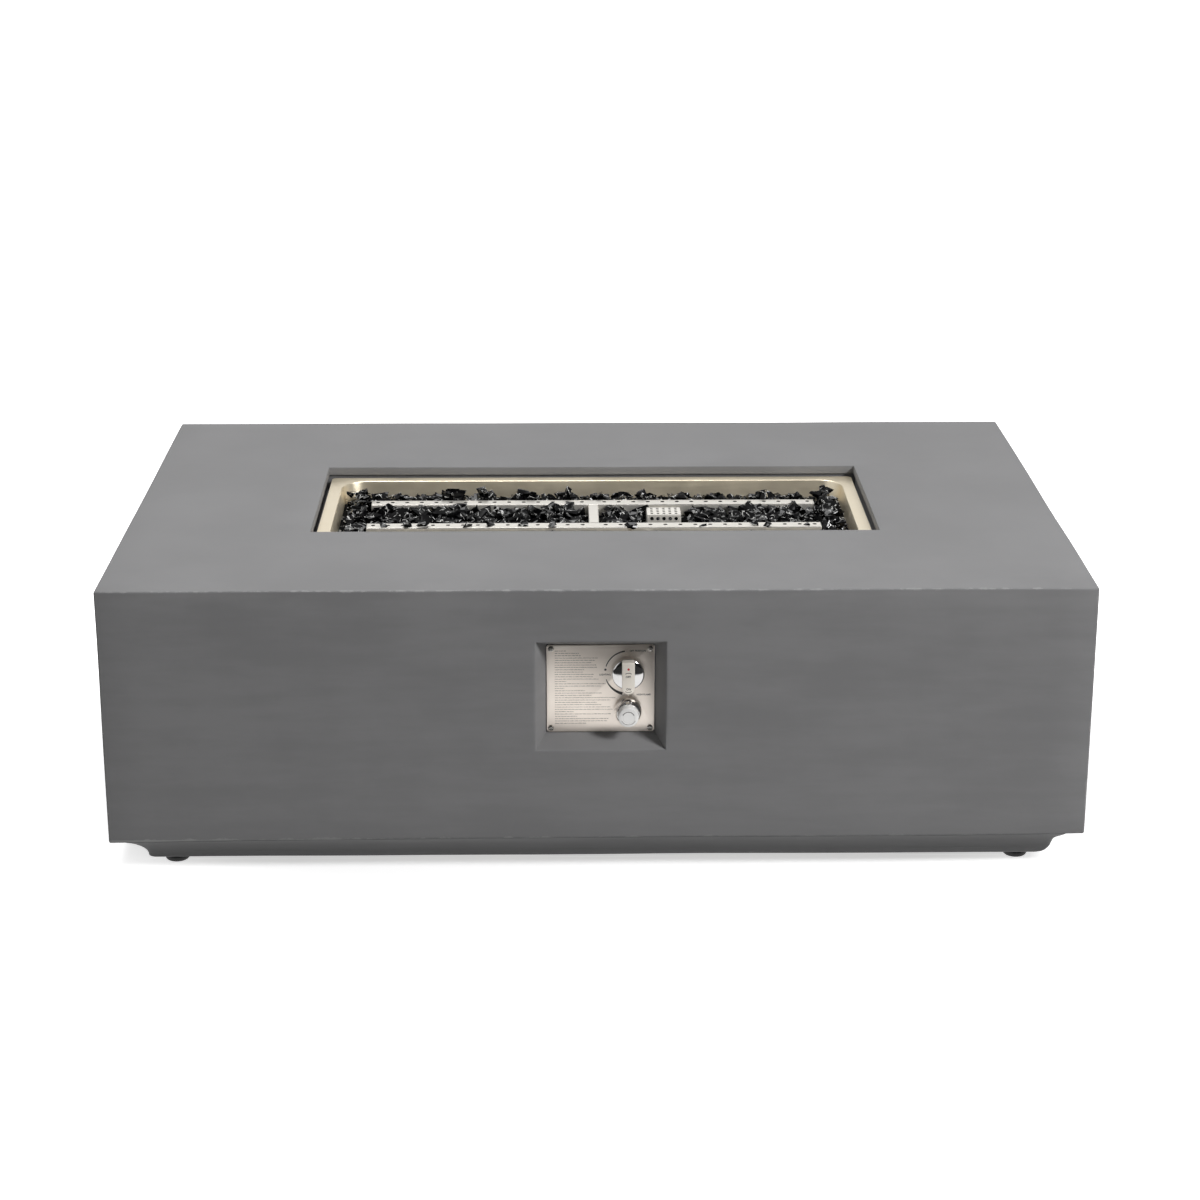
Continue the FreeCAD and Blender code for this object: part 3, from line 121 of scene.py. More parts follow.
class CastSettings(bpy.types.PropertyGroup):
    colour: colour_of("Colour", "Grey of the cast faces", (0.2145, 0.2135, 0.2165))
    # The paler edge colour is partly real wear and partly painted highlight along the arrises
    worn_and_highlit_colour: colour_of("Worn colour", "Paler grey along worn edges", (0.36, 0.36, 0.355))
    edge_round: length_of("Edge round", "Round along the outer edges of the box", 0.0022, 0.0005, 0.006)
    rim_round: length_of("Rim round", "Round along the burner opening and the recess", 0.0012, 0.0003, 0.004)
    wave_height: length_of("Wave height", "How far the hand-made faces wander", 0.0007, 0.0, 0.003)
    wave_length: length_of("Wave length", "Distance between the waves of the faces", 0.17, 0.02, 0.6)
    wave_seed: count_of("Wave seed", "Which set of waves the faces have", 4, 1)
    cove_rise: length_of("Cove rise", "Height of the plinth's hollow cove", 0.0285, 0.01, 0.03)
    cove_stretch: number_of("Cove stretch", "How many times deeper the cove is at its ends", 1.45, 1.0, 1.8)
    cove_corner: length_of("Cove corner", "Round of the plinth's corners from above", 0.008, 0.002, 0.018)
    groove_depth: length_of("Groove depth", "Depth of the gap round the pan's flange", 0.014, 0.001, 0.02)
    slope: length_of("Slope", "How far the lower edge drops towards its left end", 0.0035, 0.0, 0.01)
    grid_step: length_of("Grid step", "Largest face on the box", 0.045, 0.02, 0.2)


class PanSettings(bpy.types.PropertyGroup):
    colour: colour_of("Colour", "Warm stainless steel of the pan", (0.83, 0.74, 0.57))
    corner_steps: count_of("Corner steps", "Steps round each corner of the pan", 10, 3, 40)


class BurnerSettings(bpy.types.PropertyGroup):
    colour: colour_of("Colour", "Pale stainless steel of the burner", (0.83, 0.80, 0.74))
    port_radius: length_of("Port radius", "Radius of the holes along the burner tubes", 0.0026, 0.0004, 0.003)
    port_first: length_of("First port", "Distance of the first port from the middle", 0.0135)
    ports: count_of("Ports", "Ports on each half of a tube", 15, 2, 40)
    tube_round: length_of("Tube round", "Round along the long edges of a tube", 0.0016, 0.0003, 0.004)
    guard_hole: length_of("Guard hole", "Radius of the guard box's holes", 0.0019, 0.0008, 0.004)
    guard_pitch: length_of("Guard pitch", "Distance between the guard box's holes", 0.0072, 0.003, 0.02)


class GlassSettings(bpy.types.PropertyGroup):
    colour: colour_of("Colour", "Black of the crushed glass", (0.004, 0.004, 0.0045))
    pieces: count_of("Pieces", "Number of pieces strewn over the bed", 2400, 10)
    smallest: length_of("Smallest", "Half-length of the smallest piece", 0.0070, 0.001, 0.02)
    largest: length_of("Largest", "Half-length of the largest piece", 0.0150, 0.002, 0.03)
    strays_front: FloatVectorProperty(
        name="Strays",
        description="Places along the front tube with a stray piece on top",
        default=(-0.246, -0.220, -0.198, -0.148, -0.123, -0.083, -0.049, 0.044, 0.128, 0.187, 0.203, 0.247),
        size=12,
        subtype="NONE",
        unit="LENGTH",
    )
    seed: count_of("Seed", "Which scatter of pieces is made", 11)


class PanelSettings(bpy.types.PropertyGroup):
    plate_colour: colour_of("Plate colour", "Brushed stainless steel of the plate", (0.86, 0.785, 0.71))
    print_colour: colour_of("Print colour", "Dark ink on the plate", (0.020, 0.018, 0.018))
    fine_colour: colour_of("Fine print colour", "Thin ink of the lines of small print", (0.050, 0.042, 0.038))
    knob_colour: colour_of("Knob colour", "Chrome of the knob's disc", (0.6192, 0.612, 0.6048))
    handle_colour: colour_of("Handle colour", "Pale satin plating of the knob's handle", (0.93, 0.87, 0.78))
    mark_colour: colour_of("Mark colour", "Red dot on the knob", (0.55, 0.02, 0.02))
    collar_colour: colour_of("Collar colour", "Bright chrome of the igniter's collar", (0.95, 0.94, 0.92))
    button_colour: colour_of("Button colour", "Plating of the igniter's push button", (0.97, 0.96, 0.94))
    plate_corner: length_of("Plate corner", "Round at the plate's corners", 0.003, 0.0, 0.02)
    dial_radius: length_of("Dial radius", "Radius of the arc printed round the knob", 0.0245, 0.01, 0.05)


class StageSettings(bpy.types.PropertyGroup):
    floor_colour: colour_of("Floor colour", "Colour of the floor", (0.90, 0.90, 0.90))
    top_light: number_of("Top light", "Power of the lamp overhead in watts", 45.0, unit="POWER")
    key_light: number_of("Key light", "Power of the lamp at the right front in watts", 130.0, unit="POWER")
    room_light: number_of("Room light", "Strength of the room's even light", 0.16)
    floor_bounce: number_of(
        "Floor bounce", "Share of the floor's colour that lights the table", 0.42, 0.0, 1.0, subtype="FACTOR"
    )
    floor_glow: number_of("Floor glow", "Glow that keeps the floor near white", 0.55)


# Mesh helpers


def only(kind, items):
    """The vertices or the edges among what a bmesh operator gives back."""
    return [item for item in items if isinstance(item, kind)]


def block(bm, lowest, highest):
    """A box between two corners, as its new vertices."""
    lowest, highest = Vector(lowest), Vector(highest)
    made = bmesh.ops.create_cube(bm, size=1.0)["verts"]
    bmesh.ops.scale(bm, verts=made, vec=highest - lowest)
    bmesh.ops.translate(bm, verts=made, vec=(lowest + highest) / 2)
    return made


def new_block(lowest, highest):
    bm = bmesh.new()
    block(bm, lowest, highest)
    return bm


def edges_along(edges, axis):
    """Those edges of a box that run along one axis."""
    return [edge for edge in edges if abs(edge.verts[0].co[axis] - edge.verts[1].co[axis]) > 0.0005]


def round_edges(bm, edges, amount, segments):
    if edges:
        bmesh.ops.bevel(
            bm,
            geom=edges,
            offset=amount,
            offset_type="OFFSET",
            segments=segments,
            profile=0.5,
            affect="EDGES",
            clamp_overlap=True,
            material=-1,
        )


def sharp_edges(bm, degrees=28):
    bm.normal_update()
    angle = math.radians(degrees)
    return [edge for edge in bm.edges if len(edge.link_faces) == 2 and edge.calc_face_angle(0) > angle]


def turned(outline, steps):
    """A closed turned piece about Z from pairs of radius and height, with its poles merged."""
    bm = bmesh.new()
    points = [bm.verts.new((radius, 0, height)) for radius, height in outline]
    edges = [bm.edges.new(pair) for pair in zip(points, points[1:])]
    geom = points + edges
    bmesh.ops.spin(bm, geom=geom, cent=(0, 0, 0), axis=UP, angle=math.tau, steps=steps, use_merge=True)
    bmesh.ops.remove_doubles(bm, verts=bm.verts[:], dist=1e-6)
    bmesh.ops.recalc_face_normals(bm, faces=bm.faces[:])
    return bm


def stand(bm, origin, direction):
    """Point a piece built along Z in another direction, at its place."""
    turn = UP.rotation_difference(direction).to_matrix().to_4x4()
    bmesh.ops.transform(bm, verts=bm.verts[:], matrix=Matrix.Translation(origin) @ turn)
    return bm


def rod(radius, length, sides, centre, direction):
    bm = bmesh.new()
    bmesh.ops.create_cone(bm, cap_ends=True, segments=sides, radius1=radius, radius2=radius, depth=length)
    return stand(bm, centre, direction)


def extruded_outline(points, height):
    """A flat outline in X and Y drawn up to a height."""
    bm = bmesh.new()
    face = bm.faces.new([bm.verts.new((x, y, 0)) for x, y in points])
    grown = bmesh.ops.extrude_face_region(bm, geom=[face])["geom"]
    bmesh.ops.translate(bm, verts=only(BMVert, grown), vec=UP * height)
    bmesh.ops.recalc_face_normals(bm, faces=bm.faces[:])
    return bm


def join(bm, other):
    """Add another piece's mesh to this one."""
    mesh = bpy.data.meshes.new("joined")
    other.to_mesh(mesh)
    other.free()
    bm.from_mesh(mesh)
    bpy.data.meshes.remove(mesh)
    return bm


def link(name, data):
    """A new object in the scene."""
    obj = bpy.data.objects.new(name, data)
    bpy.context.scene.collection.objects.link(obj)
    return obj


def carved(bm, cutter):
    """The first mesh with the second one cut out of it."""
    objects = []
    for name, source in (("body", bm), ("cutter", cutter)):
        mesh = bpy.data.meshes.new(name)
        source.to_mesh(mesh)
        source.free()
        objects.append(link(name, mesh))
    cut = objects[0].modifiers.new("cut", "BOOLEAN")
    cut.operation = "DIFFERENCE"
    cut.solver = "EXACT"
    cut.object = objects[1]
    evaluated = objects[0].evaluated_get(bpy.context.evaluated_depsgraph_get())
    result = bmesh.new()
    result.from_mesh(evaluated.data)
    for obj in objects:
        mesh = obj.data
        bpy.data.objects.remove(obj)
        bpy.data.meshes.remove(mesh)
    return result


def bored(bm, centres, radius, direction, sides):
    """The mesh with round holes cut at the centres, through thin sheet."""
    cutter = bmesh.new()
    for centre in centres:
        join(cutter, rod(radius, 0.006, sides, centre, direction))
    return carved(bm, cutter)


def add_piece(name, bm, finish, node=None, body="table", smooth=35.0):
    """Make a finished mesh into a piece that rides on a body and may stand for a node."""
    mesh = bpy.data.meshes.new(name)
    bm.to_mesh(mesh)
    bm.free()
    mesh.materials.append(finish)
    if smooth:
        mesh.shade_smooth()
        mesh.set_sharp_from_angle(angle=math.radians(smooth))
    piece = link(name, mesh)
    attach(piece, body)
    if node:
        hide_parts(node)
    return piece


def recoat(names, finish):
    """Give a finish to nodes that keep their own solids."""
    for name in names:
        slots = NODES[name].data.materials
        slots.clear()
        slots.append(finish)


# Material helpers


def shaded(colour, factor=1.0):
    """A colour with its alpha, made darker or paler."""
    return (*(min(1.0, channel * factor) for channel in colour), 1.0)


def dusted(colour, share):
    """A colour with its alpha, drawn towards middle grey."""
    return (*(channel + (0.5 - channel) * share for channel in colour), 1.0)


class Wiring:
    """Places and joins the nodes of one material, node group or world."""

    def __init__(self, tree):
        self.tree = tree

    def add(self, kind, inputs=None, **settings):
        node = self.tree.nodes.new(kind)
        for key, value in settings.items():
            setattr(node, key, value)
        for key, value in (inputs or {}).items():
            self.feed(node.inputs[key], value)
        return node

    def feed(self, socket, value):
        if isinstance(value, bpy.types.NodeSocket):
            self.tree.links.new(value, socket)
        else:
            socket.default_value = value

    def math(self, operation, first, second=0.0, clamp=False):
        inputs = {0: first, 1: second}
        return self.add("ShaderNodeMath", inputs, operation=operation, use_clamp=clamp).outputs[0]

    def vector(self, operation, inputs, result="Vector"):
        return self.add("ShaderNodeVectorMath", inputs, operation=operation).outputs[result]

    def plus(self, first, second):
        return self.math("ADD", first, second)

    def minus(self, first, second, clamp=False):
        return self.math("SUBTRACT", first, second, clamp)

    def times(self, first, second):
        return self.math("MULTIPLY", first, second)

    def least(self, first, second):
        return self.math("MINIMUM", first, second)

    def most(self, first, second):
        return self.math("MAXIMUM", first, second)

    def scaled(self, value, factor, offset):
        """A value times a factor, plus an offset."""
        return self.plus(self.times(value, factor), offset)

    def ramp(self, value, start, end):
        """Nought below start, one above end and smooth between."""
        inputs = {"Value": value, "From Min": start, "From Max": end}
        return self.add("ShaderNodeMapRange", inputs, interpolation_type="SMOOTHSTEP").outputs["Result"]

    def noise(self, vector, scale, detail=3.0, roughness=0.55):
        inputs = {"Vector": vector, "Scale": scale, "Detail": detail, "Roughness": roughness}
        return self.add("ShaderNodeTexNoise", inputs).outputs["Fac"]

    def stretched(self, vector, scale):
        return self.add("ShaderNodeMapping", {"Vector": vector, "Scale": scale}).outputs["Vector"]

    def parts(self, vector):
        return self.add("ShaderNodeSeparateXYZ", {0: vector}).outputs

    def blend(self, factor, first, second):
        return self.add("ShaderNodeMix", {0: factor, 6: first, 7: second}, data_type="RGBA").outputs[2]


class Finish(Wiring):
    """A new material: its shader, and the Object coordinates that its pattern reads."""

    def __init__(self, name):
        self.material = bpy.data.materials.new(name)
        self.material.use_nodes = True
        super().__init__(self.material.node_tree)
        self.shader = self.tree.nodes["Principled BSDF"].inputs
        self.place = self.add("ShaderNodeTexCoord").outputs["Object"]

    def group(self, name, **inputs):
        """The outputs of a shared node group, which reads the place unless it is given another vector."""
        if name not in bpy.data.node_groups:
            GROUP_MAKERS[name]()
        node = self.add("ShaderNodeGroup", node_tree=bpy.data.node_groups[name])
        for key, value in {"Vector": self.place, **inputs}.items():
            self.feed(node.inputs[key.replace("_", " ")], value)
        return node.outputs

    def relief(self, height, strength, distance):
        bump = self.add("ShaderNodeBump", {"Height": height, "Strength": strength, "Distance": distance})
        self.feed(self.shader["Normal"], bump.outputs["Normal"])

    def done(self, colour, roughness, metallic=0.0, specular=0.5):
        """Set the shader, and give the material back."""
        self.feed(self.shader["Base Color"], colour)
        self.feed(self.shader["Roughness"], roughness)
        self.shader["Metallic"].default_value = metallic
        self.shader["Specular IOR Level"].default_value = specular
        return self.material


def new_group(name, numbers, results):
    """A node group that reads a vector and named numbers: its wiring, inputs and outputs."""
    tree = bpy.data.node_groups.new(name, "ShaderNodeTree")
    tree.interface.new_socket("Vector", in_out="INPUT", socket_type="NodeSocketVector")
    for label, default in numbers.items():
        socket = tree.interface.new_socket(label, in_out="INPUT", socket_type="NodeSocketFloat")
        socket.default_value = default
    for label in results:
        tree.interface.new_socket(label, in_out="OUTPUT", socket_type="NodeSocketFloat")
    wiring = Wiring(tree)
    return wiring, wiring.add("NodeGroupInput").outputs, wiring.add("NodeGroupOutput").inputs


def make_mottle_group():
    """Cloudy tone and fine pores of a rubbed cast face."""
    wiring, given, out = new_group("Mottle", {"Cloud Scale": 7.0, "Grain Scale": 420.0}, ("Tone", "Relief"))
    cloud = wiring.noise(given["Vector"], given["Cloud Scale"], 4.0, 0.6)
    streaked = wiring.stretched(given["Vector"], (1.0, 1.0, 6.0))
    streak = wiring.noise(streaked, given["Cloud Scale"], 5.0, 0.6)
    grain = wiring.noise(given["Vector"], given["Grain Scale"], 2.0, 0.5)
    wiring.feed(out["Tone"], wiring.ramp(wiring.times(wiring.plus(cloud, streak), 0.5), 0.36, 0.64))
    wiring.feed(out["Relief"], wiring.plus(wiring.times(grain, 0.35), wiring.times(cloud, 0.65)))


def make_brushing_group():
    """Fine scratches that run along one way, from a vector already squeezed along that way."""
    wiring, given, out = new_group("Brushing", {"Scale": 900.0}, ("Line",))
    fine = wiring.noise(given["Vector"], given["Scale"], 2.0, 0.6)
    coarse = wiring.noise(given["Vector"], wiring.times(given["Scale"], 0.22), 2.0, 0.5)
    wiring.feed(out["Line"], wiring.plus(wiring.times(fine, 0.6), wiring.times(coarse, 0.4)))


def make_smudge_group():
    """Soft uneven patches, such as handling marks and dust."""
    wiring, given, out = new_group("Smudge", {"Scale": 30.0}, ("Patch",))
    patch = wiring.noise(given["Vector"], given["Scale"], 5.0, 0.65)
    wiring.feed(out["Patch"], wiring.ramp(patch, 0.35, 0.7))


def make_arris_group():
    """One along the outer edges of a box about the Z axis, fading over a wandering width: where edges are
    worn and carry painted highlight.
    """
    numbers = {"Half Length": 0.5, "Half Width": 0.3, "Foot": 0.0, "Top": 0.3, "Width": 0.0035}
    wiring, given, out = new_group("Arris", numbers, ("Wear And Highlight",))
    place = wiring.parts(given["Vector"])
    side = wiring.minus(given["Half Length"], wiring.math("ABSOLUTE", place["X"]))
    face = wiring.minus(given["Half Width"], wiring.math("ABSOLUTE", place["Y"]))
    level = wiring.least(wiring.minus(given["Top"], place["Z"]), wiring.minus(place["Z"], given["Foot"]))
    second = wiring.most(wiring.least(side, face), wiring.least(wiring.most(side, face), level))
    ragged = wiring.noise(given["Vector"], 55.0, 5.0, 0.65)
    reach = wiring.times(given["Width"], wiring.ramp(ragged, 0.42, 0.72))
    worn_and_highlit = wiring.math("DIVIDE", second, wiring.plus(reach, 0.0004))
    wiring.feed(out["Wear And Highlight"], wiring.minus(1.0, worn_and_highlit, clamp=True))


GROUP_MAKERS = {
    "Mottle": make_mottle_group,
    "Brushing": make_brushing_group,
    "Smudge": make_smudge_group,
    "Arris": make_arris_group,
}

# A brushed pattern is squeezed along the axis that its scratches run along
ALONG_X = (0.03, 1.0, 1.0)
ALONG_Z = (1.0, 1.0, 0.2)
# Pale grey of the glints painted on the crushed glass: painted highlight
PAINTED_GLINT = (0.60, 0.60, 0.58)
# Near-black painted inside hollow parts: painted shade where little light reaches
PAINTED_SHADE_INSIDE = (0.012, 0.011, 0.010)


def cast_finish(name, settings, lowest, highest, painted_lightness=1.0):
    """Rubbed grey casting: cloudy tone, pores, and paler outer edges, partly real wear and partly painted
    highlight.
    """
    finish = Finish(name)
    mottle = finish.group("Mottle")
    box = {"Half_Length": highest.x, "Half_Width": highest.y, "Foot": lowest.z, "Top": highest.z}
    wear_and_highlight = finish.group("Arris", **box)["Wear And Highlight"]
    # The factor paints the whole grey paler or darker: painted light when it is not one
    dark, pale = shaded(settings.colour, painted_lightness * 0.93), shaded(settings.colour, painted_lightness * 1.07)
    base = finish.blend(mottle["Tone"], dark, pale)
    # Paler edges: partly real wear, partly painted highlight
    worn_and_highlit = finish.blend(finish.times(wear_and_highlight, 0.75), base, shaded(settings.worn_and_highlit_colour))
    finish.relief(mottle["Relief"], 0.25, 0.0006)
    return finish.done(worn_and_highlit, finish.scaled(mottle["Tone"], 0.12, 0.58), specular=0.35)


def depth_in_box(finish, lowest, highest):
    """How far a point lies under the skin of a box."""
    part = finish.parts(finish.place)
    depth = 1.0  # more than any box is deep
    for axis in range(3):
        depth = finish.least(depth, finish.minus(part[axis], lowest[axis]))
        depth = finish.least(depth, finish.minus(highest[axis], part[axis]))
    return depth


def brushed_finish(name, colour, squeeze, rough=0.30, contrast=0.10, scale=900.0, metallic=1.0, shaded_hollows=()):
    """Brushed metal whose scratches run along the axis that squeeze makes short, with painted shade inside
    its hollows.
    """
    finish = Finish(name)
    line = finish.group("Brushing", Vector=finish.stretched(finish.place, squeeze), Scale=scale)["Line"]
    patch = finish.group("Smudge", Scale=26.0)["Patch"]
    steel = finish.blend(line, shaded(colour, 1 - contrast), shaded(colour, 1 + contrast))
    # Painted shade: the steel turns near-black a little way under the skin of each hollow box
    for lowest, highest in shaded_hollows:
        inside = finish.ramp(depth_in_box(finish, lowest, highest), 0.0001, 0.0004)
        steel = finish.blend(inside, steel, shaded(PAINTED_SHADE_INSIDE))
    roughness = finish.plus(finish.scaled(line, 0.16, rough - 0.08), finish.times(patch, 0.07))
    finish.relief(line, 0.12, 0.0001)
    return finish.done(steel, roughness, metallic)


def polished_finish(name, colour, rough):
    """Bright plating with faint handling marks."""
    finish = Finish(name)
    patch = finish.group("Smudge", Scale=90.0)["Patch"]
    tone = finish.blend(patch, shaded(colour), shaded(colour, 0.93))
    return finish.done(tone, finish.scaled(patch, 0.06, rough), 1.0)


def moulded_finish(name, colour, rough, grain=1400.0, metallic=0.0, dust=0.10):
    """Moulded, painted or cast small parts: an even tone with fine grain and dust."""
    finish = Finish(name)
    patch = finish.group("Smudge", Scale=60.0)["Patch"]
    tone = finish.blend(patch, shaded(colour), dusted(colour, dust))
    finish.relief(finish.noise(finish.place, grain, 2.0), 0.2, 0.0002)
    return finish.done(tone, finish.scaled(patch, 0.15, rough - 0.07), metallic)


def glass_finish(name, colour, rough, specular):
    """Opaque black glass with shell-like ripples on its broken faces, and short pale lines of painted glint.
    """
    finish = Finish(name)
    ripple = finish.noise(finish.place, 85.0, 0.6, 0.4)
    tone = finish.blend(ripple, shaded(colour), shaded(colour, 0.5))
    drift = finish.add("ShaderNodeTexNoise", {"Vector": finish.place, "Scale": 60.0, "Detail": 1.0})
    shift = finish.vector("SCALE", {0: drift.outputs["Color"], "Scale": 0.012})
    warped = finish.vector("ADD", {0: finish.place, 1: shift})
    cells = finish.add("ShaderNodeTexVoronoi", {"Vector": warped, "Scale": 70.0}, feature="DISTANCE_TO_EDGE")
    painted_glint_line = finish.minus(1.0, finish.ramp(cells.outputs["Distance"], 0.008, 0.040))
    broken = finish.ramp(finish.noise(finish.place, 160.0, 1.0, 0.5), 0.50, 0.60)
    # Painted highlight: thin pale lines along the cell edges stand in for glints off the glass
    tone = finish.blend(finish.times(painted_glint_line, broken), tone, shaded(PAINTED_GLINT))
    finish.relief(ripple, 0.8, 0.0050)
    return finish.done(tone, finish.scaled(ripple, 0.08, rough), specular=specular)


def ink_finish(name, colour):
    """Printed ink, worn thin in tiny patches."""
    finish = Finish(name)
    patch = finish.noise(finish.place, 1800.0, 2.0)
    tone = finish.blend(finish.ramp(patch, 0.45, 0.75), shaded(colour), dusted(colour, 0.35))
    return finish.done(tone, finish.scaled(patch, 0.2, 0.35))


# Cast box and plinth

WALL = 0.014  # thickness of the casting
SPLAY = 0.0113  # how much wider the recess is at its mouth than at its floor


def in_plane(parts, axis, value, lowest, highest):
    """Faces or edges in one plane across an axis, with their middle inside the other two ranges."""
    found = []
    for part in parts:
        centre = sum((vertex.co for vertex in part.verts), Vector()) / len(part.verts)
        if abs(centre[axis] - value) < ON_PLANE and all(
            lowest[other] < centre[other] < highest[other] for other in range(3) if other != axis
        ):
            found.append(part)
    return found


def cut_along(bm, axis, values):
    """Cut everything by planes across one axis."""
    normal = Vector((0, 0, 0))
    normal[axis] = 1
    for value in values:
        geom = bm.verts[:] + bm.edges[:] + bm.faces[:]
        bmesh.ops.bisect_plane(bm, geom=geom, plane_co=normal * value, plane_no=normal)


def cut_places(marks, start, end, step):
    """Cutting places at the marks, with even steps between them."""
    stops = sorted({start, end, *marks})
    places = list(marks)
    for a, b in zip(stops, stops[1:]):
        parts = max(1, math.ceil((b - a) / step))
        places += [a + (b - a) * part / parts for part in range(1, parts)]
    return sorted(places)


def open_rim(bm, faces):
    """Delete faces and give back the edges round the hole."""
    edges = list(dict.fromkeys(edge for face in faces for edge in face.edges))
    inside = [edge for edge in edges if all(face in faces for face in edge.link_faces)]
    rim = [edge for edge in edges if edge not in inside]
    bmesh.ops.delete(bm, geom=faces, context="FACES_ONLY")
    bmesh.ops.delete(bm, geom=inside, context="EDGES")
    return rim


def grown(half, amount):
    """A pair of half sizes made larger all round."""
    return tuple(size + amount for size in half)


def corners_of(centre, half):
    """Two opposite corners of a rectangle that faces the front."""
    reach = Vector((half[0], 0, half[1]))
    return centre - reach, centre + reach


def draw_rim(bm, rim, steps, axes=(0, 1), about=(0, 0, 0)):
    """Draw a rectangular rim on through pairs of half sizes, on two axes, and a level on the third."""
    across = 3 - sum(axes)
    for half, level in steps:
        made = bmesh.ops.extrude_edge_only(bm, edges=rim)["geom"]
        vertices, rim = only(BMVert, made), only(BMEdge, made)
        scale, offset = [1, 1, 1], [0, 0, 0]
        for axis, size in zip(axes, half):
            scale[axis] = size / max(abs(vertex.co[axis] - about[axis]) for vertex in vertices)
        offset[across] = level - sum(vertex.co[across] for vertex in vertices) / len(vertices)
        bmesh.ops.scale(bm, verts=vertices, vec=scale, space=Matrix.Translation(-Vector(about)))
        bmesh.ops.translate(bm, verts=vertices, vec=offset)
    return rim


def wander(bm, settings, keep=None):
    """Move the vertices a little, the same way each time, so that the faces look made by hand."""
    noise.seed_set(settings.wave_seed)
    start = Vector((3.1, 7.7, 1.3))
    for vertex in bm.verts:
        if keep is None or not keep(vertex.co):
            vertex.co += noise.noise_vector(vertex.co / settings.wave_length + start) * settings.wave_height


def drop_left(bm, settings, foot, level, end):
    """Let a lower edge drop a little to the left and rise at the right, fading out above it and below."""
    fade = 0.05
    rise = 0.45
    for vertex in bm.verts:
        height = vertex.co.z
        share = (height - foot) / (level - foot) if height < level else 1 - (height - level) / fade
        across = vertex.co.x / end
        drop = across**2 if across < 0 else -rise * across**6
        vertex.co.z -= settings.slope * drop * min(1.0, max(0.0, share))


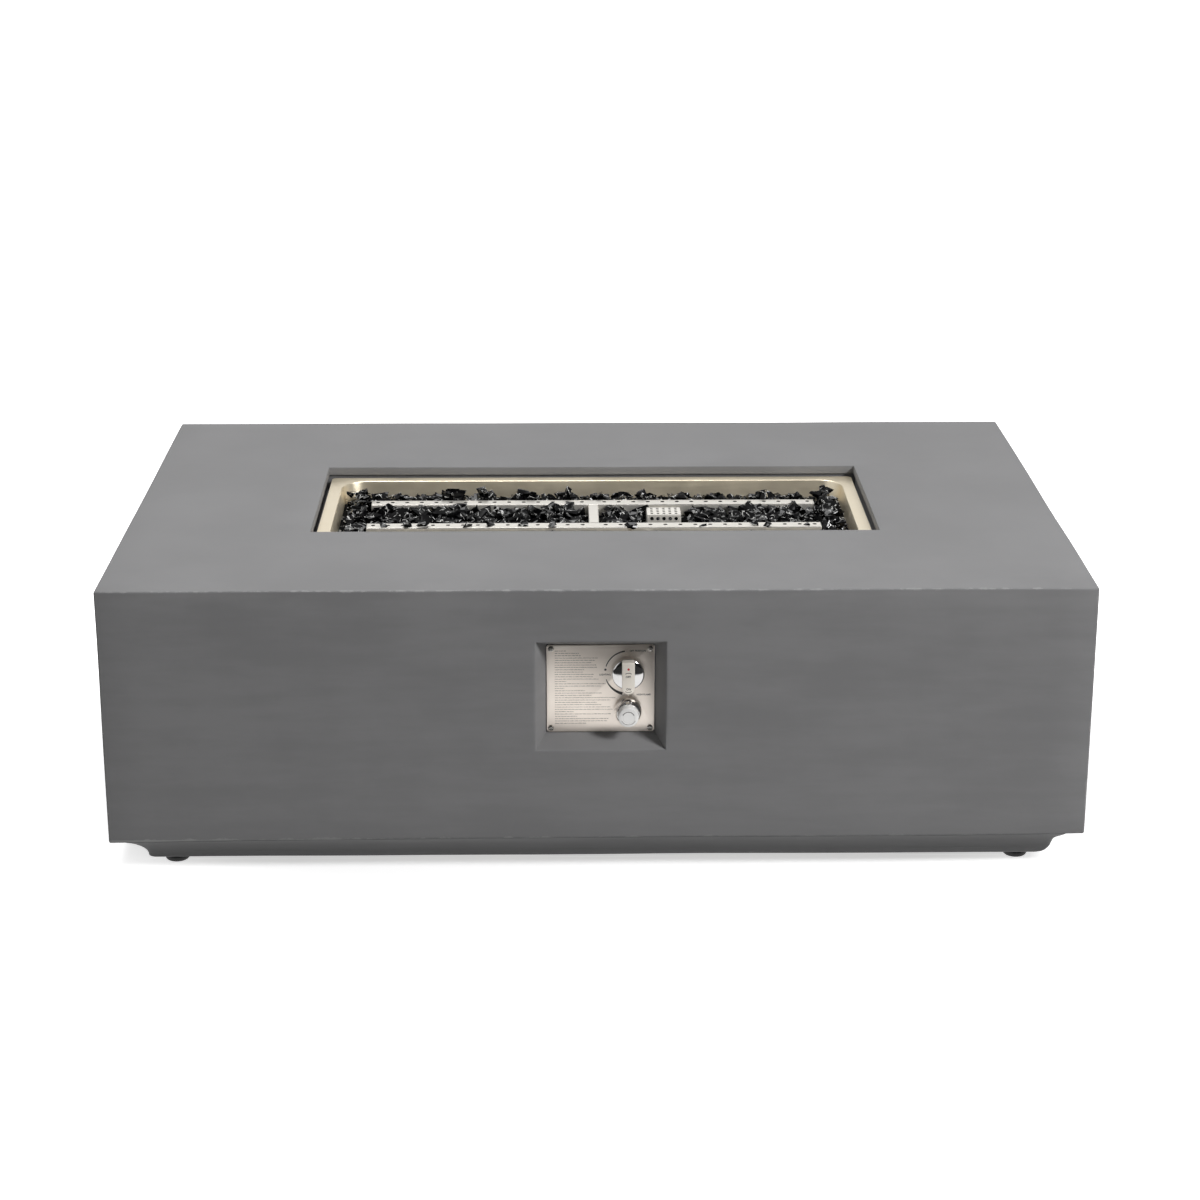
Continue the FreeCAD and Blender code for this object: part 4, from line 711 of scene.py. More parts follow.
class FIREPIT_OT_cast_box(bpy.types.Operator):
    """Cast box with its burner opening, its splayed control recess and the hollow underneath"""

    bl_idname = "firepit.cast_box"
    bl_label = "Cast Box"

    def execute(self, context):
        settings = context.scene.fire_pit_cast
        lowest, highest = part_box("body_shell")
        pan = high("burner_pan")
        opening = grown(pan.xy, 0.003)
        plate, centre = half_size("control_plate"), middle("control_plate")
        recess = Vector((centre.x, lowest.y, centre.z))
        still = (0.09, -0.29 - lowest.y, 0.08)  # how far round the recess the faces stay true
        seat = grown((plate.x, plate.z), 0.0005)
        mouth = corners_of(recess, grown(seat, SPLAY))
        bm = new_block(lowest, highest)
        marks = (
            [-opening[0], opening[0], mouth[0].x, mouth[1].x],
            [-opening[1], opening[1]],
            [mouth[0].z, mouth[1].z],
        )
        for axis, places in enumerate(marks):
            cut_along(bm, axis, cut_places(places, lowest[axis], highest[axis], settings.grid_step))
        well = open_rim(bm, in_plane(bm.faces, 2, highest.z, (-opening[0], -opening[1], 0), (*opening, 0)))
        well = draw_rim(bm, well, self.hollow(settings, lowest, highest, pan, opening))
        base = open_rim(bm, in_plane(bm.faces, 2, lowest.z, lowest, highest))
        bmesh.ops.bridge_loops(bm, edges=well + base)
        self.sink_recess(bm, lowest, recess, seat, mouth)
        bmesh.ops.recalc_face_normals(bm, faces=bm.faces[:])
        self.round_outside(bm, settings, lowest, highest, opening, mouth)
        wander(bm, settings, lambda co: all(abs(co[axis] - recess[axis]) < still[axis] for axis in range(3)))
        drop_left(bm, settings, lowest.z - 0.001, lowest.z, highest.x)
        finish = cast_finish("cast_body", settings, lowest, highest)
        add_piece("cast_box", bm, finish, "body_shell")
        return {"FINISHED"}

    @staticmethod
    def hollow(settings, lowest, highest, pan, opening):
        """Half sizes and levels from the opening's rim, over the pan's seat, to the inner wall's foot."""
        body = highest.xy
        ledge = pan.z - 0.0012
        gap = ledge - settings.groove_depth
        ceiling = highest.z - 0.018
        skirt = ceiling - 0.024
        lip = lowest.z + 0.012
        undercut = grown(opening, 0.0025)
        groove = grown(pan.xy, -0.0015)
        throat = grown(pan.xy, -0.010)
        outside = grown(pan.xy, 0.025)
        wall = grown(body, -WALL)
        foot = grown(body, -0.026)
        return (
            (opening, ledge + 0.0040),
            (undercut, ledge + 0.0037),
            (undercut, gap),
            (groove, gap),
            (groove, ledge),
            (throat, ledge),
            (throat, skirt),
            (outside, skirt),
            (outside, ceiling),
            (wall, ceiling),
            (wall, lip),
            (foot, lip),
            (foot, lowest.z),
        )

    @staticmethod
    def sink_recess(bm, lowest, recess, seat, mouth):
        """Sink the splayed recess from the front, and its boss behind it on the inner wall."""
        axes = (0, 2)
        back = high("control_plate").y
        shelf = back + 0.010
        window = grown(seat, -0.010)
        boss = grown(seat, 0.010)
        niche = open_rim(bm, in_plane(bm.faces, 1, lowest.y, *mouth))
        niche = draw_rim(bm, niche, ((seat, back), (window, back), (window, shelf)), axes, recess)
        inside = lowest.y + WALL
        hole = corners_of(recess, grown(boss, SPLAY * (back - inside) / (back - lowest.y)))
        for axis in axes:
            cut_along(bm, axis, [corner[axis] for corner in hole])
        behind = open_rim(bm, in_plane(bm.faces, 1, inside, *hole))
        behind = draw_rim(bm, behind, ((boss, back), (boss, shelf)), axes, recess)
        bmesh.ops.bridge_loops(bm, edges=[edge for edge in niche if edge.is_valid] + behind)

    @staticmethod
    def round_outside(bm, settings, lowest, highest, opening, mouth):
        """Round the box's outer edges, and less so the rims of the opening and the recess."""
        sharp = sharp_edges(bm)
        outer = [edge for edge in sharp if outer_faces(edge, lowest, highest) == 2]
        margin = 1e-4
        wide = grown(opening, margin)
        spare = Vector((margin, margin, margin))
        rims = in_plane(sharp, 2, highest.z, (-wide[0], -wide[1], 0), (*wide, 0))
        rims += in_plane(sharp, 1, lowest.y, mouth[0] - spare, mouth[1] + spare)
        round_edges(bm, outer, settings.edge_round, 3)
        round_edges(bm, [edge for edge in rims if edge.is_valid], settings.rim_round, 2)


def outer_faces(edge, lowest, highest):
    """How many of a box's outer faces an edge lies in."""
    a, b = [vertex.co for vertex in edge.verts]
    return sum(
        abs(a[axis] - b[axis]) < ON_PLANE
        and min(abs(a[axis] - lowest[axis]), abs(a[axis] - highest[axis])) < ON_PLANE
        for axis in range(3)
    )


# Height above the plinth's foot, and inset, down the right end, which is steeper and rounder than the left
RIGHT_END = (
    (0.0000, 0.0300),
    (0.0010, 0.0240),
    (0.0020, 0.0212),
    (0.0035, 0.0190),
    (0.0050, 0.0177),
    (0.0070, 0.0163),
    (0.0130, 0.0153),
    (0.0170, 0.0145),
    (0.0210, 0.0129),
    (0.0240, 0.0092),
    (0.0270, 0.0035),
    (0.0330, 0.0000),
)


def between(table, value):
    """The second value of a table of pairs at a place between its first values."""
    for (start, first), (end, second) in zip(table, table[1:]):
        if value <= end:
            return first + (second - first) * max(0.0, (value - start) / (end - start))
    return table[-1][1]


def corner_spot(co, half, shape):
    """Middle of the corner round nearest to a point, for a shape of insets in X and Y and a radius."""
    return Vector([math.copysign(half[axis] - shape[axis] - shape[2], co[axis]) for axis in range(2)])


def rounded_rim(bm, half, shape, steps, level):
    """The edges of a rounded rectangle, made from a circle whose quarters are pulled apart."""
    ring = bmesh.ops.create_circle(bm, cap_ends=False, segments=4 * (steps + 1), radius=1.0)["verts"]
    for index, vertex in enumerate(ring):
        quarter, step = divmod(index, steps + 1)
        angle = QUARTER * (quarter + step / steps)
        side = QUARTER * (quarter + 0.5)
        spot = corner_spot((math.cos(side), math.sin(side)), half, shape)
        vertex.co = (spot.x + shape[2] * math.cos(angle), spot.y + shape[2] * math.sin(angle), level)
    return list(dict.fromkeys(edge for vertex in ring for edge in vertex.link_edges))


def draw_rounded(bm, rim, half, was, shapes):
    """Draw a rounded rim on from one shape through pairs of a shape and its level."""
    for now, level in shapes:
        made = bmesh.ops.extrude_edge_only(bm, edges=rim)["geom"]
        for vertex in only(BMVert, made):
            outward = (vertex.co.xy - corner_spot(vertex.co, half, was)).normalized()
            place = corner_spot(vertex.co, half, now) + outward * now[2]
            vertex.co = (place.x, place.y, level)
        rim, was = only(BMEdge, made), now
    return rim


class FIREPIT_OT_plinth(bpy.types.Operator):
    """Plinth ring under the box, with its hollow cove and its blocks over the feet"""

    bl_idname = "firepit.plinth"
    bl_label = "Plinth"

    def execute(self, context):
        settings = context.scene.fire_pit_cast
        lowest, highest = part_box("plinth_ring")
        half = highest.xy
        lip = highest.z - 0.012
        radius = settings.cove_corner
        cove = self.cove(settings, lowest.z, lip)
        front_stretch, front_shift = 1.44, 0.009
        shapes = [
            ((across * settings.cove_stretch, across * front_stretch - front_shift, radius), level)
            for across, level in cove
        ]
        spigot = (0.0125, 0.0125, radius)
        inner = (0.040, 0.030, radius)
        shapes += [(spigot, lip), (spigot, highest.z), (inner, highest.z)]
        bm = bmesh.new()
        first = rounded_rim(bm, half, inner, 8, lowest.z)
        last = draw_rounded(bm, first, half, inner, shapes)
        bmesh.ops.bridge_loops(bm, edges=last + first)
        long_edges = [edge for edge in bm.edges if edge.calc_length() > 0.2]
        bmesh.ops.subdivide_edges(bm, edges=long_edges, cuts=15, use_grid_fill=True)
        left = [(level, across * settings.cove_stretch) for across, level in cove]
        for vertex in bm.verts:
            if highest.x - 0.0385 < vertex.co.x and vertex.co.z < highest.z - 0.0115:
                vertex.co.x += between(left, vertex.co.z) - between(RIGHT_END, vertex.co.z - lowest.z)
        for side_x in WAYS:
            for side_y in WAYS:
                self.foot_block(bm, side_x, side_y, lowest, highest)
        bmesh.ops.recalc_face_normals(bm, faces=bm.faces[:])
        wander(bm, settings)
        drop_left(bm, settings, lowest.z, lip, highest.x)
        hose_notch = new_block((-0.014, 0.29, lowest.z - 0.01), (0.014, 0.36, lowest.z + 0.020))
        # The plinth's grey is painted 12 % paler than the box's: painted light making up for the shade it
        # lies in under the box
        finish = cast_finish("cast_plinth", settings, lowest, Vector((highest.x, highest.y, 1.0)), 1.12)
        add_piece("plinth", carved(bm, hose_notch), finish, "plinth_ring")
        return {"FINISHED"}

    @staticmethod
    def cove(settings, ground, lip):
        """Insets and levels up the hollow cove, from its rubbed lower edge to the lip under the box."""
        depth = 0.016
        steps = 10
        outline = [(0.0180, ground), (0.0168, ground + 0.0006), (0.0161, ground + 0.0015)]
        for step in range(steps + 1):
            angle = QUARTER * step / steps
            climb = (math.sin(angle) + 1 - math.cos(angle)) / 2
            outline.append((depth * math.cos(angle), ground + 0.0025 + settings.cove_rise * climb))
        return [*outline, (0.0, lip)]

    @staticmethod
    def foot_block(bm, side_x, side_y, lowest, highest):
        """A block over one foot in a corner of the ring, its free upright edge rounded."""
        inner_x = highest.x - 0.030
        inner_y = highest.y - 0.030
        a = Vector((side_x * (inner_x - 0.050), side_y * (inner_y - 0.034), lowest.z + 0.0003))
        b = Vector((side_x * (inner_x - 0.006), side_y * (inner_y + 0.006), highest.z - 0.0003))
        made = block(bm, map(min, a, b), map(max, a, b))
        upright = edges_along(dict.fromkeys(edge for vertex in made for edge in vertex.link_edges), 2)
        free = [edge for edge in upright if (edge.verts[0].co.xy - a.xy).length < ON_PLANE]
        round_edges(bm, free, 0.008, 5)


FOOT_PROFILE = (
    (0, 0),
    (0.0102, 0),
    (0.0119, 0.0005),
    (0.0130, 0.0016),
    (0.0135, 0.0032),
    (0.0135, 0.0053),
    (0.0130, 0.0066),
    (0.0112, 0.0084),
    (0.0086, 0.0100),
    (0.0060, 0.0107),
    (0.0040, 0.0107),
)


class FIREPIT_OT_levelling_feet(bpy.types.Operator):
    """Four black levelling feet with domed pads and threaded studs"""

    bl_idname = "firepit.levelling_feet"
    bl_label = "Levelling Feet"

    def execute(self, context):
        finish = moulded_finish("black_foot_plastic", (0.004, 0.004, 0.0045), 0.55, dust=0.01)
        pitch = 0.0015
        thread = ((0.0040, 0.1), (0.0035, 0.5), (0.0040, 0.9))  # radius at each share of a turn
        for name in ("foot_front_left", "foot_front_right", "foot_rear_left", "foot_rear_right"):
            centre, top = middle(name), high(name).z
            outline = list(FOOT_PROFILE)
            level = outline[-1][1]
            while level + pitch < top:
                outline += [(radius, level + pitch * share) for radius, share in thread]
                level += pitch
            outline += [(0.0034, top), (0, top)]
            bm = stand(turned(outline, 40), (centre.x, centre.y, 0), UP)
            add_piece(name + "_pad", bm, finish, name, name)
        return {"FINISHED"}


# Burner pan, burner and guard


class FIREPIT_OT_burner_pan(bpy.types.Operator):
    """Drawn stainless pan with a flat flange, sloping walls and rounded corners"""

    bl_idname = "firepit.burner_pan"
    bl_label = "Burner Pan"

    def execute(self, context):
        settings = context.scene.fire_pit_pan
        lowest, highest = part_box("burner_pan")
        half = grown(highest.xy, -0.016)
        corner = 0.028
        floor = lowest.z + 0.0012
        slope = 0.005
        bend = 0.012
        outline = [(-0.0004, highest.z - 0.0004), (0.0, highest.z - 0.0012), (slope, floor + bend)]
        for step in range(1, 7):
            angle = QUARTER * step / 6
            outline.append((slope + bend * (1 - math.cos(angle)), floor + bend * (1 - math.sin(angle))))
        bm = bmesh.new()
        lip = (-0.0012, -0.0012, corner + 0.0012)
        mouth = rounded_rim(bm, half, lip, settings.corner_steps, highest.z)
        shapes = [((inset, inset, corner - inset), level) for inset, level in outline]
        bmesh.ops.contextual_create(bm, geom=draw_rounded(bm, mouth, half, lip, shapes))
        self.draw_flange(bm, mouth, half, corner, highest - Vector((0.001, 0.001, 0)))
        bmesh.ops.recalc_face_normals(bm, faces=bm.faces[:])
        if sum(face.normal.z * face.calc_area() for face in bm.faces) < 0:
            bmesh.ops.reverse_faces(bm, faces=bm.faces[:])
        bmesh.ops.solidify(bm, geom=bm.faces[:], thickness=0.00115)
        finish = brushed_finish("pan_stainless", settings.colour, ALONG_X, 0.34, 0.07, 500.0, 0.8)
        add_piece("pan", bm, finish, "burner_pan", smooth=40.0)
        return {"FINISHED"}

    @staticmethod
    def draw_flange(bm, mouth, half, corner, edge):
        """Draw the mouth out flat to the flange's edge, whose own corners are nearly square."""
        sharp = 0.006
        made = bmesh.ops.extrude_edge_only(bm, edges=mouth)["geom"]
        for vertex in only(BMVert, made):
            outward = (vertex.co.xy - corner_spot(vertex.co, half, (0.0, 0.0, corner))).normalized()
            place = corner_spot(vertex.co, edge, (0.0, 0.0, sharp)) + outward * sharp
            vertex.co = (place.x, place.y, edge.z)


class FIREPIT_OT_burner(bpy.types.Operator):
    """Two square burner tubes with their rows of ports, end caps, cross tube and angle stands"""

    bl_idname = "firepit.burner"
    bl_label = "Burner"

    def execute(self, context):
        settings = context.scene.fire_pit_burner
        tubes = {name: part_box(name) for name in ("burner_tube_front", "burner_tube_rear")}
        # The tubes' insides get painted shade, so that their ports show dark
        finish = brushed_finish(
            "burner_stainless", settings.colour, ALONG_X, 0.32, 0.06, 500.0, 0.7, tubes.values()
        )
        sheet = Vector((0.0006, 0.0006, 0.0006))
        last_port = high("burner_end_caps").x - 0.0075
        pitch = (last_port - settings.port_first) / (settings.ports - 1)
        caps = bmesh.new()
        for name, (lowest, highest) in tubes.items():
            tube = new_block(lowest, highest)
            round_edges(tube, edges_along(tube.edges, 0), settings.tube_round, 4)
            tube = carved(tube, new_block(lowest + sheet, highest - sheet))
            y = (lowest.y + highest.y) / 2 + 0.0015
            ports = [
                (way * (settings.port_first + pitch * index), y, highest.z)
                for index in range(settings.ports)
                for way in WAYS
            ]
            tube = bored(tube, ports, settings.port_radius, UP, 14)
            add_piece(name.replace("burner_", "") + "_dressed", tube, finish, name)
            for way in WAYS:
                ends = sorted((way * highest.x, way * (highest.x + 0.0015)))
                block(caps, (ends[0], lowest.y, lowest.z), (ends[1], highest.y, highest.z))
        round_edges(caps, sharp_edges(caps), 0.0006, 2)
        add_piece("end_caps_dressed", caps, finish, "burner_end_caps")
        cross = new_block(*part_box("burner_cross_tube"))
        round_edges(cross, edges_along(cross.edges, 1), settings.tube_round, 4)
        add_piece("cross_tube_dressed", cross, finish, "burner_cross_tube")
        recoat(("burner_stands", "sensor_bracket"), finish)
        return {"FINISHED"}


class FIREPIT_OT_sensor_guard(bpy.types.Operator):
    """Folded guard box over the sensors, with its holes and its two screw tabs"""

    bl_idname = "firepit.sensor_guard"
    bl_label = "Sensor Guard"

    def execute(self, context):
        settings = context.scene.fire_pit_burner
        lowest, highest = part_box("pilot_guard")
        centre = middle("pilot_guard")
        sheet = 0.0005
        tab_reach = 0.009
        half_x = half_size("pilot_guard").x - tab_reach
        left, right = centre.x - half_x, centre.x + half_x
        bm = new_block((left, lowest.y, lowest.z), (right, highest.y, highest.z))
        open_rim(bm, in_plane(bm.faces, 2, lowest.z, lowest, highest))
        foot = lowest.z + sheet
        folds = [edge for edge in sharp_edges(bm) if max(vertex.co.z for vertex in edge.verts) > foot]
        round_edges(bm, folds, 0.0012, 3)
        bmesh.ops.recalc_face_normals(bm, faces=bm.faces[:])
        top = [face for face in bm.faces if abs(face.calc_center_median().z - highest.z) < ON_PLANE]
        if top and top[0].normal.z < 0:
            bmesh.ops.reverse_faces(bm, faces=bm.faces[:])
        bmesh.ops.solidify(bm, geom=bm.faces[:], thickness=sheet)
        columns = [centre.x + settings.guard_pitch * (index - 2) for index in range(5)]
        rows = [centre.y + settings.guard_pitch * (index - 1.5) for index in range(4)]
        bm = bored(bm, [(x, y, highest.z) for x in columns for y in rows], settings.guard_hole, UP, 16)
        front = [(x, lowest.y, highest.z - 0.0050) for x in columns]
        bm = bored(bm, front, settings.guard_hole * 1.15, BACK, 16)
        for way in WAYS:
            ends = sorted((centre.x + way * (half_x - sheet), centre.x + way * (half_x + tab_reach)))
            tab = new_block((ends[0], centre.y - 0.008, lowest.z), (ends[1], centre.y + 0.008, foot))
            round_edges(tab, sharp_edges(tab), 0.0003, 1)
            join(bm, tab)
        # The inside of the guard box gets painted shade
        hollow = [(Vector((left, lowest.y, 0)), Vector((right, highest.y, highest.z)))]
        finish = brushed_finish("guard_stainless", settings.colour, ALONG_X, 0.33, 0.05, 500.0, 0.35, hollow)
        add_piece("guard_box", bm, finish, "pilot_guard")
        return {"FINISHED"}


# Fire glass

# Middle, width and height of each lump of glass that shows over the rear tube
REAR_LUMPS = (
    (-0.258, 0.018, 0.011),
    (-0.232, 0.015, 0.009),
    (-0.203, 0.016, 0.009),
    (-0.169, 0.033, 0.015),
    (-0.132, 0.019, 0.015),
    (-0.112, 0.016, 0.005),
    (-0.081, 0.025, 0.014),
    (-0.053, 0.017, 0.006),
    (-0.033, 0.018, 0.015),
    (0.005, 0.024, 0.010),
    (0.034, 0.013, 0.004),
    (0.060, 0.012, 0.013),
    (0.102, 0.027, 0.010),
    (0.147, 0.012, 0.009),
    (0.166, 0.018, 0.006),
    (0.208, 0.035, 0.010),
    (0.246, 0.016, 0.008),
)
GLASS_NEIGHBOURS = ("burner_tube_front", "burner_tube_rear", "burner_cross_tube", "pilot_guard")


class FIREPIT_OT_fire_glass(bpy.types.Operator):
    """Crushed black glass heaped over the pan between and beside the burner tubes"""

    bl_idname = "firepit.fire_glass"
    bl_label = "Fire Glass"

    def execute(self, context):
        settings = context.scene.fire_pit_glass
        chance = random.Random(settings.seed)
        bed = high("fire_glass_bed")
        spots = self.spread_out(chance, settings, bed)
        spots += self.between_tubes(chance, settings)
        spots += self.end_piles(chance, bed)
        spots += self.behind_tube(chance)
        spots += self.strays(chance, settings)
        batch_size = 40
        bm = bmesh.new()
        for first in range(0, len(spots), batch_size):
            batch = bmesh.new()
            for place, size in spots[first : first + batch_size]:
                self.crushed_piece(batch, chance, size, Vector(place))
            join(bm, batch)
        loose = glass_finish("black_fire_glass", settings.colour, 0.02, 0.19)
        add_piece("crushed_glass", bm, loose, "fire_glass_pieces", smooth=0)
        recoat(["fire_glass_bed"], glass_finish("black_glass_bed", settings.colour, 0.75, 0.03))
        return {"FINISHED"}

    @staticmethod
    def spread_out(chance, settings, bed):
        """Places all over the bed, clear of the burner, the guard and the pan's wall."""
        keep_out = [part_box(name) for name in GLASS_NEIGHBOURS]
        rear_tube = keep_out[1][0].y
        spots = []
        for _ in range(settings.pieces):
            size = settings.smallest + (settings.largest - settings.smallest) * chance.random() ** 1.4
            wall = 0.0035 + size * 0.75
            x = (bed.x - wall) * (2 * chance.random() - 1)
            y = (bed.y - wall) * (2 * chance.random() - 1)
            reach = size * 0.55
            corner = Vector((abs(x) - (bed.x - 0.023), abs(y) - (bed.y - 0.023)))
            in_corner = corner.x > 0 and corner.y > 0 and corner.length + size * 0.7 > 0.0225
            in_metal = any(
                near.x - reach < x < far.x + reach and near.y - reach < y < far.y + reach
                for near, far in keep_out
            )
            if not in_corner and not in_metal and abs(y) > rear_tube:
                spots.append(((x, y, bed.z + size * (0.1 + 0.3 * chance.random())), size))
        return spots

    @staticmethod
    def between_tubes(chance, settings):
        """A close fill between the two tubes, nearly as high as the tubes at its back."""
        front = high("burner_tube_front")
        rear = low("burner_tube_rear")
        guard_low, guard_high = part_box("pilot_guard")
        cross_half = half_size("burner_cross_tube").x
        top = high("burner_tube_rear").z
        step = 0.0098
        jitter = 0.006
        spots = []
        row = front.y + 0.007
        while row < rear.y - 0.002:
            share = (row - front.y) / (rear.y - front.y)
            column = -front.x
            while column < front.x:
                size = 1.30 * (settings.smallest + (settings.largest - settings.smallest) * chance.random())
                x = column + jitter * (chance.random() - 0.5)
                y = min(row + jitter * (chance.random() - 0.5), rear.y - size * 0.30)
                z = top - 0.0110 + 0.0080 * share + 0.0030 * (chance.random() - 0.5) - size * 0.12
                near_guard = guard_low.x + 0.004 < x < guard_high.x - 0.004 and y < guard_high.y + size * 0.4
                if abs(x) > cross_half + size * 0.45 and not near_guard:
                    spots.append(((x, y, z), size))
                column += step
            row += step
        return spots

    @staticmethod
    def end_piles(chance, bed):
        """Piles beyond both ends of the tubes."""
        cap_low, cap_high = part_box("burner_end_caps")
        spots = []
        for way, count, rise in ((-1, 80, 0.016), (1, 90, 0.019)):
            for _ in range(count):
                size = 0.0088 + 0.005 * chance.random()
                x = way * (cap_high.x + size * 0.6 + (bed.x - cap_high.x - size * 1.6) * chance.random())
                y = cap_low.y - 0.02 + (cap_high.y - cap_low.y + 0.045) * chance.random()
                level = rise * chance.random() * (0.85 + 2.2 * max(0.0, y - cap_low.y))
                spots.append(((x, y, bed.z + level), size))
        return spots

    @staticmethod
    def behind_tube(chance):
        """Lumps that show over the rear tube, with low pieces all along behind it."""
        tube = high("burner_tube_rear")
        spots = []
        x = -tube.x
        while x < tube.x:
            size = 0.0085 + 0.0035 * chance.random()
            spots.append(((x, tube.y + size * 0.8, tube.z - 0.0062), size))
            x += size * 1.1
        for centre, width, height in REAR_LUMPS:
            count = max(2, round(width / 0.0065))
            for part in range(count):
                across = (2 * part + 1) / count - 1
                size = min(0.0150, 0.0090 + height * 0.40) * (0.85 + 0.3 * chance.random())
                rise = 1.30 * height * (1 - 0.75 * across * across) * (0.75 + 0.25 * chance.random())
                y = tube.y + 0.010 + 0.008 * chance.random()
                crest = tube.z - 0.0045 + rise - size * 0.5
                foot = tube.z - 0.0055 + rise * 0.2
                spots.append(((centre + across * width * 0.40, y, crest), size))
                spots.append(((centre + across * width * 0.45, y + 0.003, foot), size))
        return spots

    @staticmethod
    def strays(chance, settings):
        """Flat pieces that lie on the front tube."""
        tube_low, tube_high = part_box("burner_tube_front")
        spots = []
        for x in settings.strays_front:
            size = 0.0070 + 0.0045 * chance.random()
            y = tube_low.y + 0.003 + 0.005 * chance.random()
            spots.append(((x, y, tube_high.z + size * 0.15), size))
        return spots

    @staticmethod
    def crushed_piece(bm, chance, size, place):
        """The hull of a few points about a stretched ball, tumbled any way."""
        stretch = Vector((1.0, 0.55 + 0.35 * chance.random(), 0.40 + 0.35 * chance.random()))
        turn = Matrix.Rotation(math.tau * chance.random(), 3, "Z")
        tilt = Matrix.Rotation((chance.random() - 0.5) * 1.6, 3, "X")
        points = []
        for _ in range(9):
            ray = Vector((chance.gauss(0, 1), chance.gauss(0, 1), chance.gauss(0, 1))).normalized()
            point = ray * stretch * size * (0.8 + 0.2 * chance.random())
            points.append(bm.verts.new(place + turn @ (tilt @ point)))
        hull = bmesh.ops.convex_hull(bm, input=points, use_existing_faces=False)
        spare = dict.fromkeys(only(BMVert, hull["geom_interior"] + hull["geom_unused"]))
        bmesh.ops.delete(bm, geom=list(spare), context="VERTS")


# Control panel


def cross_slot_screw(radius, height):
    """A low domed screw head with a cross recess, its seat at the origin."""
    outline = ((0, 0), (radius, 0), (radius, height * 0.35), (radius * 0.86, height * 0.75))
    bm = turned((*outline, (radius * 0.5, height), (0, height)), 32)
    long, wide = radius * 0.66, radius * 0.17
    for eighths in (1, 3):
        bar = new_block((-long, -wide, height * 0.2), (long, wide, height * 2))
        turn = Matrix.Rotation(eighths * math.pi / 4, 3, "Z")
        bmesh.ops.rotate(bar, verts=bar.verts[:], cent=(0, 0, 0), matrix=turn)
        bm = carved(bm, bar)
    return bm


def printed_arc(bm, centre, radius, start, end, thick, thick_end=None):
    """A thin printed arc facing the front, about a centre on the printed face."""
    steps = 20
    for step in range(steps):
        corners = []
        for part, side in ((0, -0.5), (0, 0.5), (1, 0.5), (1, -0.5)):
            share = (step + part) / steps
            angle = math.radians(start + (end - start) * share)
            reach = radius + side * (thick + ((thick_end or thick) - thick) * share)
            x, z = centre.x + reach * math.cos(angle), centre.z + reach * math.sin(angle)
            corners.append(bm.verts.new((x, centre.y - PRINT_LIFT, z)))
        bm.faces.new(corners)
    bmesh.ops.recalc_face_normals(bm, faces=bm.faces[:])


def lettered(name, text, place, size, finish, body="table"):
    """A plain word facing the front, made a mesh."""
    curve = bpy.data.curves.new(name, "FONT")
    curve.body = text
    curve.size = size
    curve.offset = size * 0.025
    curve.extrude = 0.00003
    temporary = link(name + "_text", curve)
    mesh = bpy.data.meshes.new_from_object(temporary.evaluated_get(bpy.context.evaluated_depsgraph_get()))
    bpy.data.objects.remove(temporary)
    bm = bmesh.new()
    bm.from_mesh(mesh)
    turn = Matrix.Rotation(QUARTER, 4, "X")
    bmesh.ops.transform(bm, verts=bm.verts[:], matrix=Matrix.Translation(place) @ turn)
    add_piece(name, bm, finish, body=body, smooth=0)


class FIREPIT_OT_control_plate(bpy.types.Operator):
    """Brushed face plate with its corner screws"""

    bl_idname = "firepit.control_plate"
    bl_label = "Control Plate"

    def execute(self, context):
        settings = context.scene.fire_pit_panel
        lowest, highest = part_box("control_plate")
        centre = middle("control_plate")
        bm = new_block(lowest, highest)
        round_edges(bm, edges_along(bm.edges, 1), settings.plate_corner, 8)
        face = lowest.y + 1e-6
        rim = [edge for edge in sharp_edges(bm) if max(vertex.co.y for vertex in edge.verts) < face]
        round_edges(bm, rim, 0.0003, 2)
        for node, radius in (("valve_rotor", 0.005), ("igniter_housing", 0.0107)):
            place = middle(node)
            bm = bored(bm, [(place.x, centre.y, place.z)], radius, BACK, 32)
        squeeze = (0.02, 1.0, 1.0)
        finish = brushed_finish("plate_stainless", settings.plate_colour, squeeze, 0.38, 0.05, 1500.0)
        add_piece("face_plate", bm, finish, "control_plate")
        inset = 0.0047
        reach_x, _, reach_z = half_size("control_plate") - Vector((inset, 0, inset))
        screws = bmesh.new()
        for way_x in WAYS:
            for way_z in WAYS:
                seat = (centre.x + way_x * reach_x, lowest.y, centre.z + way_z * reach_z)
                join(screws, stand(cross_slot_screw(0.0031, 0.0018), seat, FRONT))
        steel = polished_finish("screw_steel", (0.34, 0.33, 0.31), 0.26)
        add_piece("plate_screw_heads", screws, steel, "plate_screws")
        return {"FINISHED"}


# Length in millimetres of each line of small print, from the top down
PRINT_ROWS = (12, 26, 28, 46, 43, 40, 44, 45, 32, 30, 42, 41, 47, 12, 55, 50)
PRINT_ROWS += (10, 32, 50, 40, 66, 60, 45, 50, 60, 62, 20, 60, 24, 58, 56, 34)


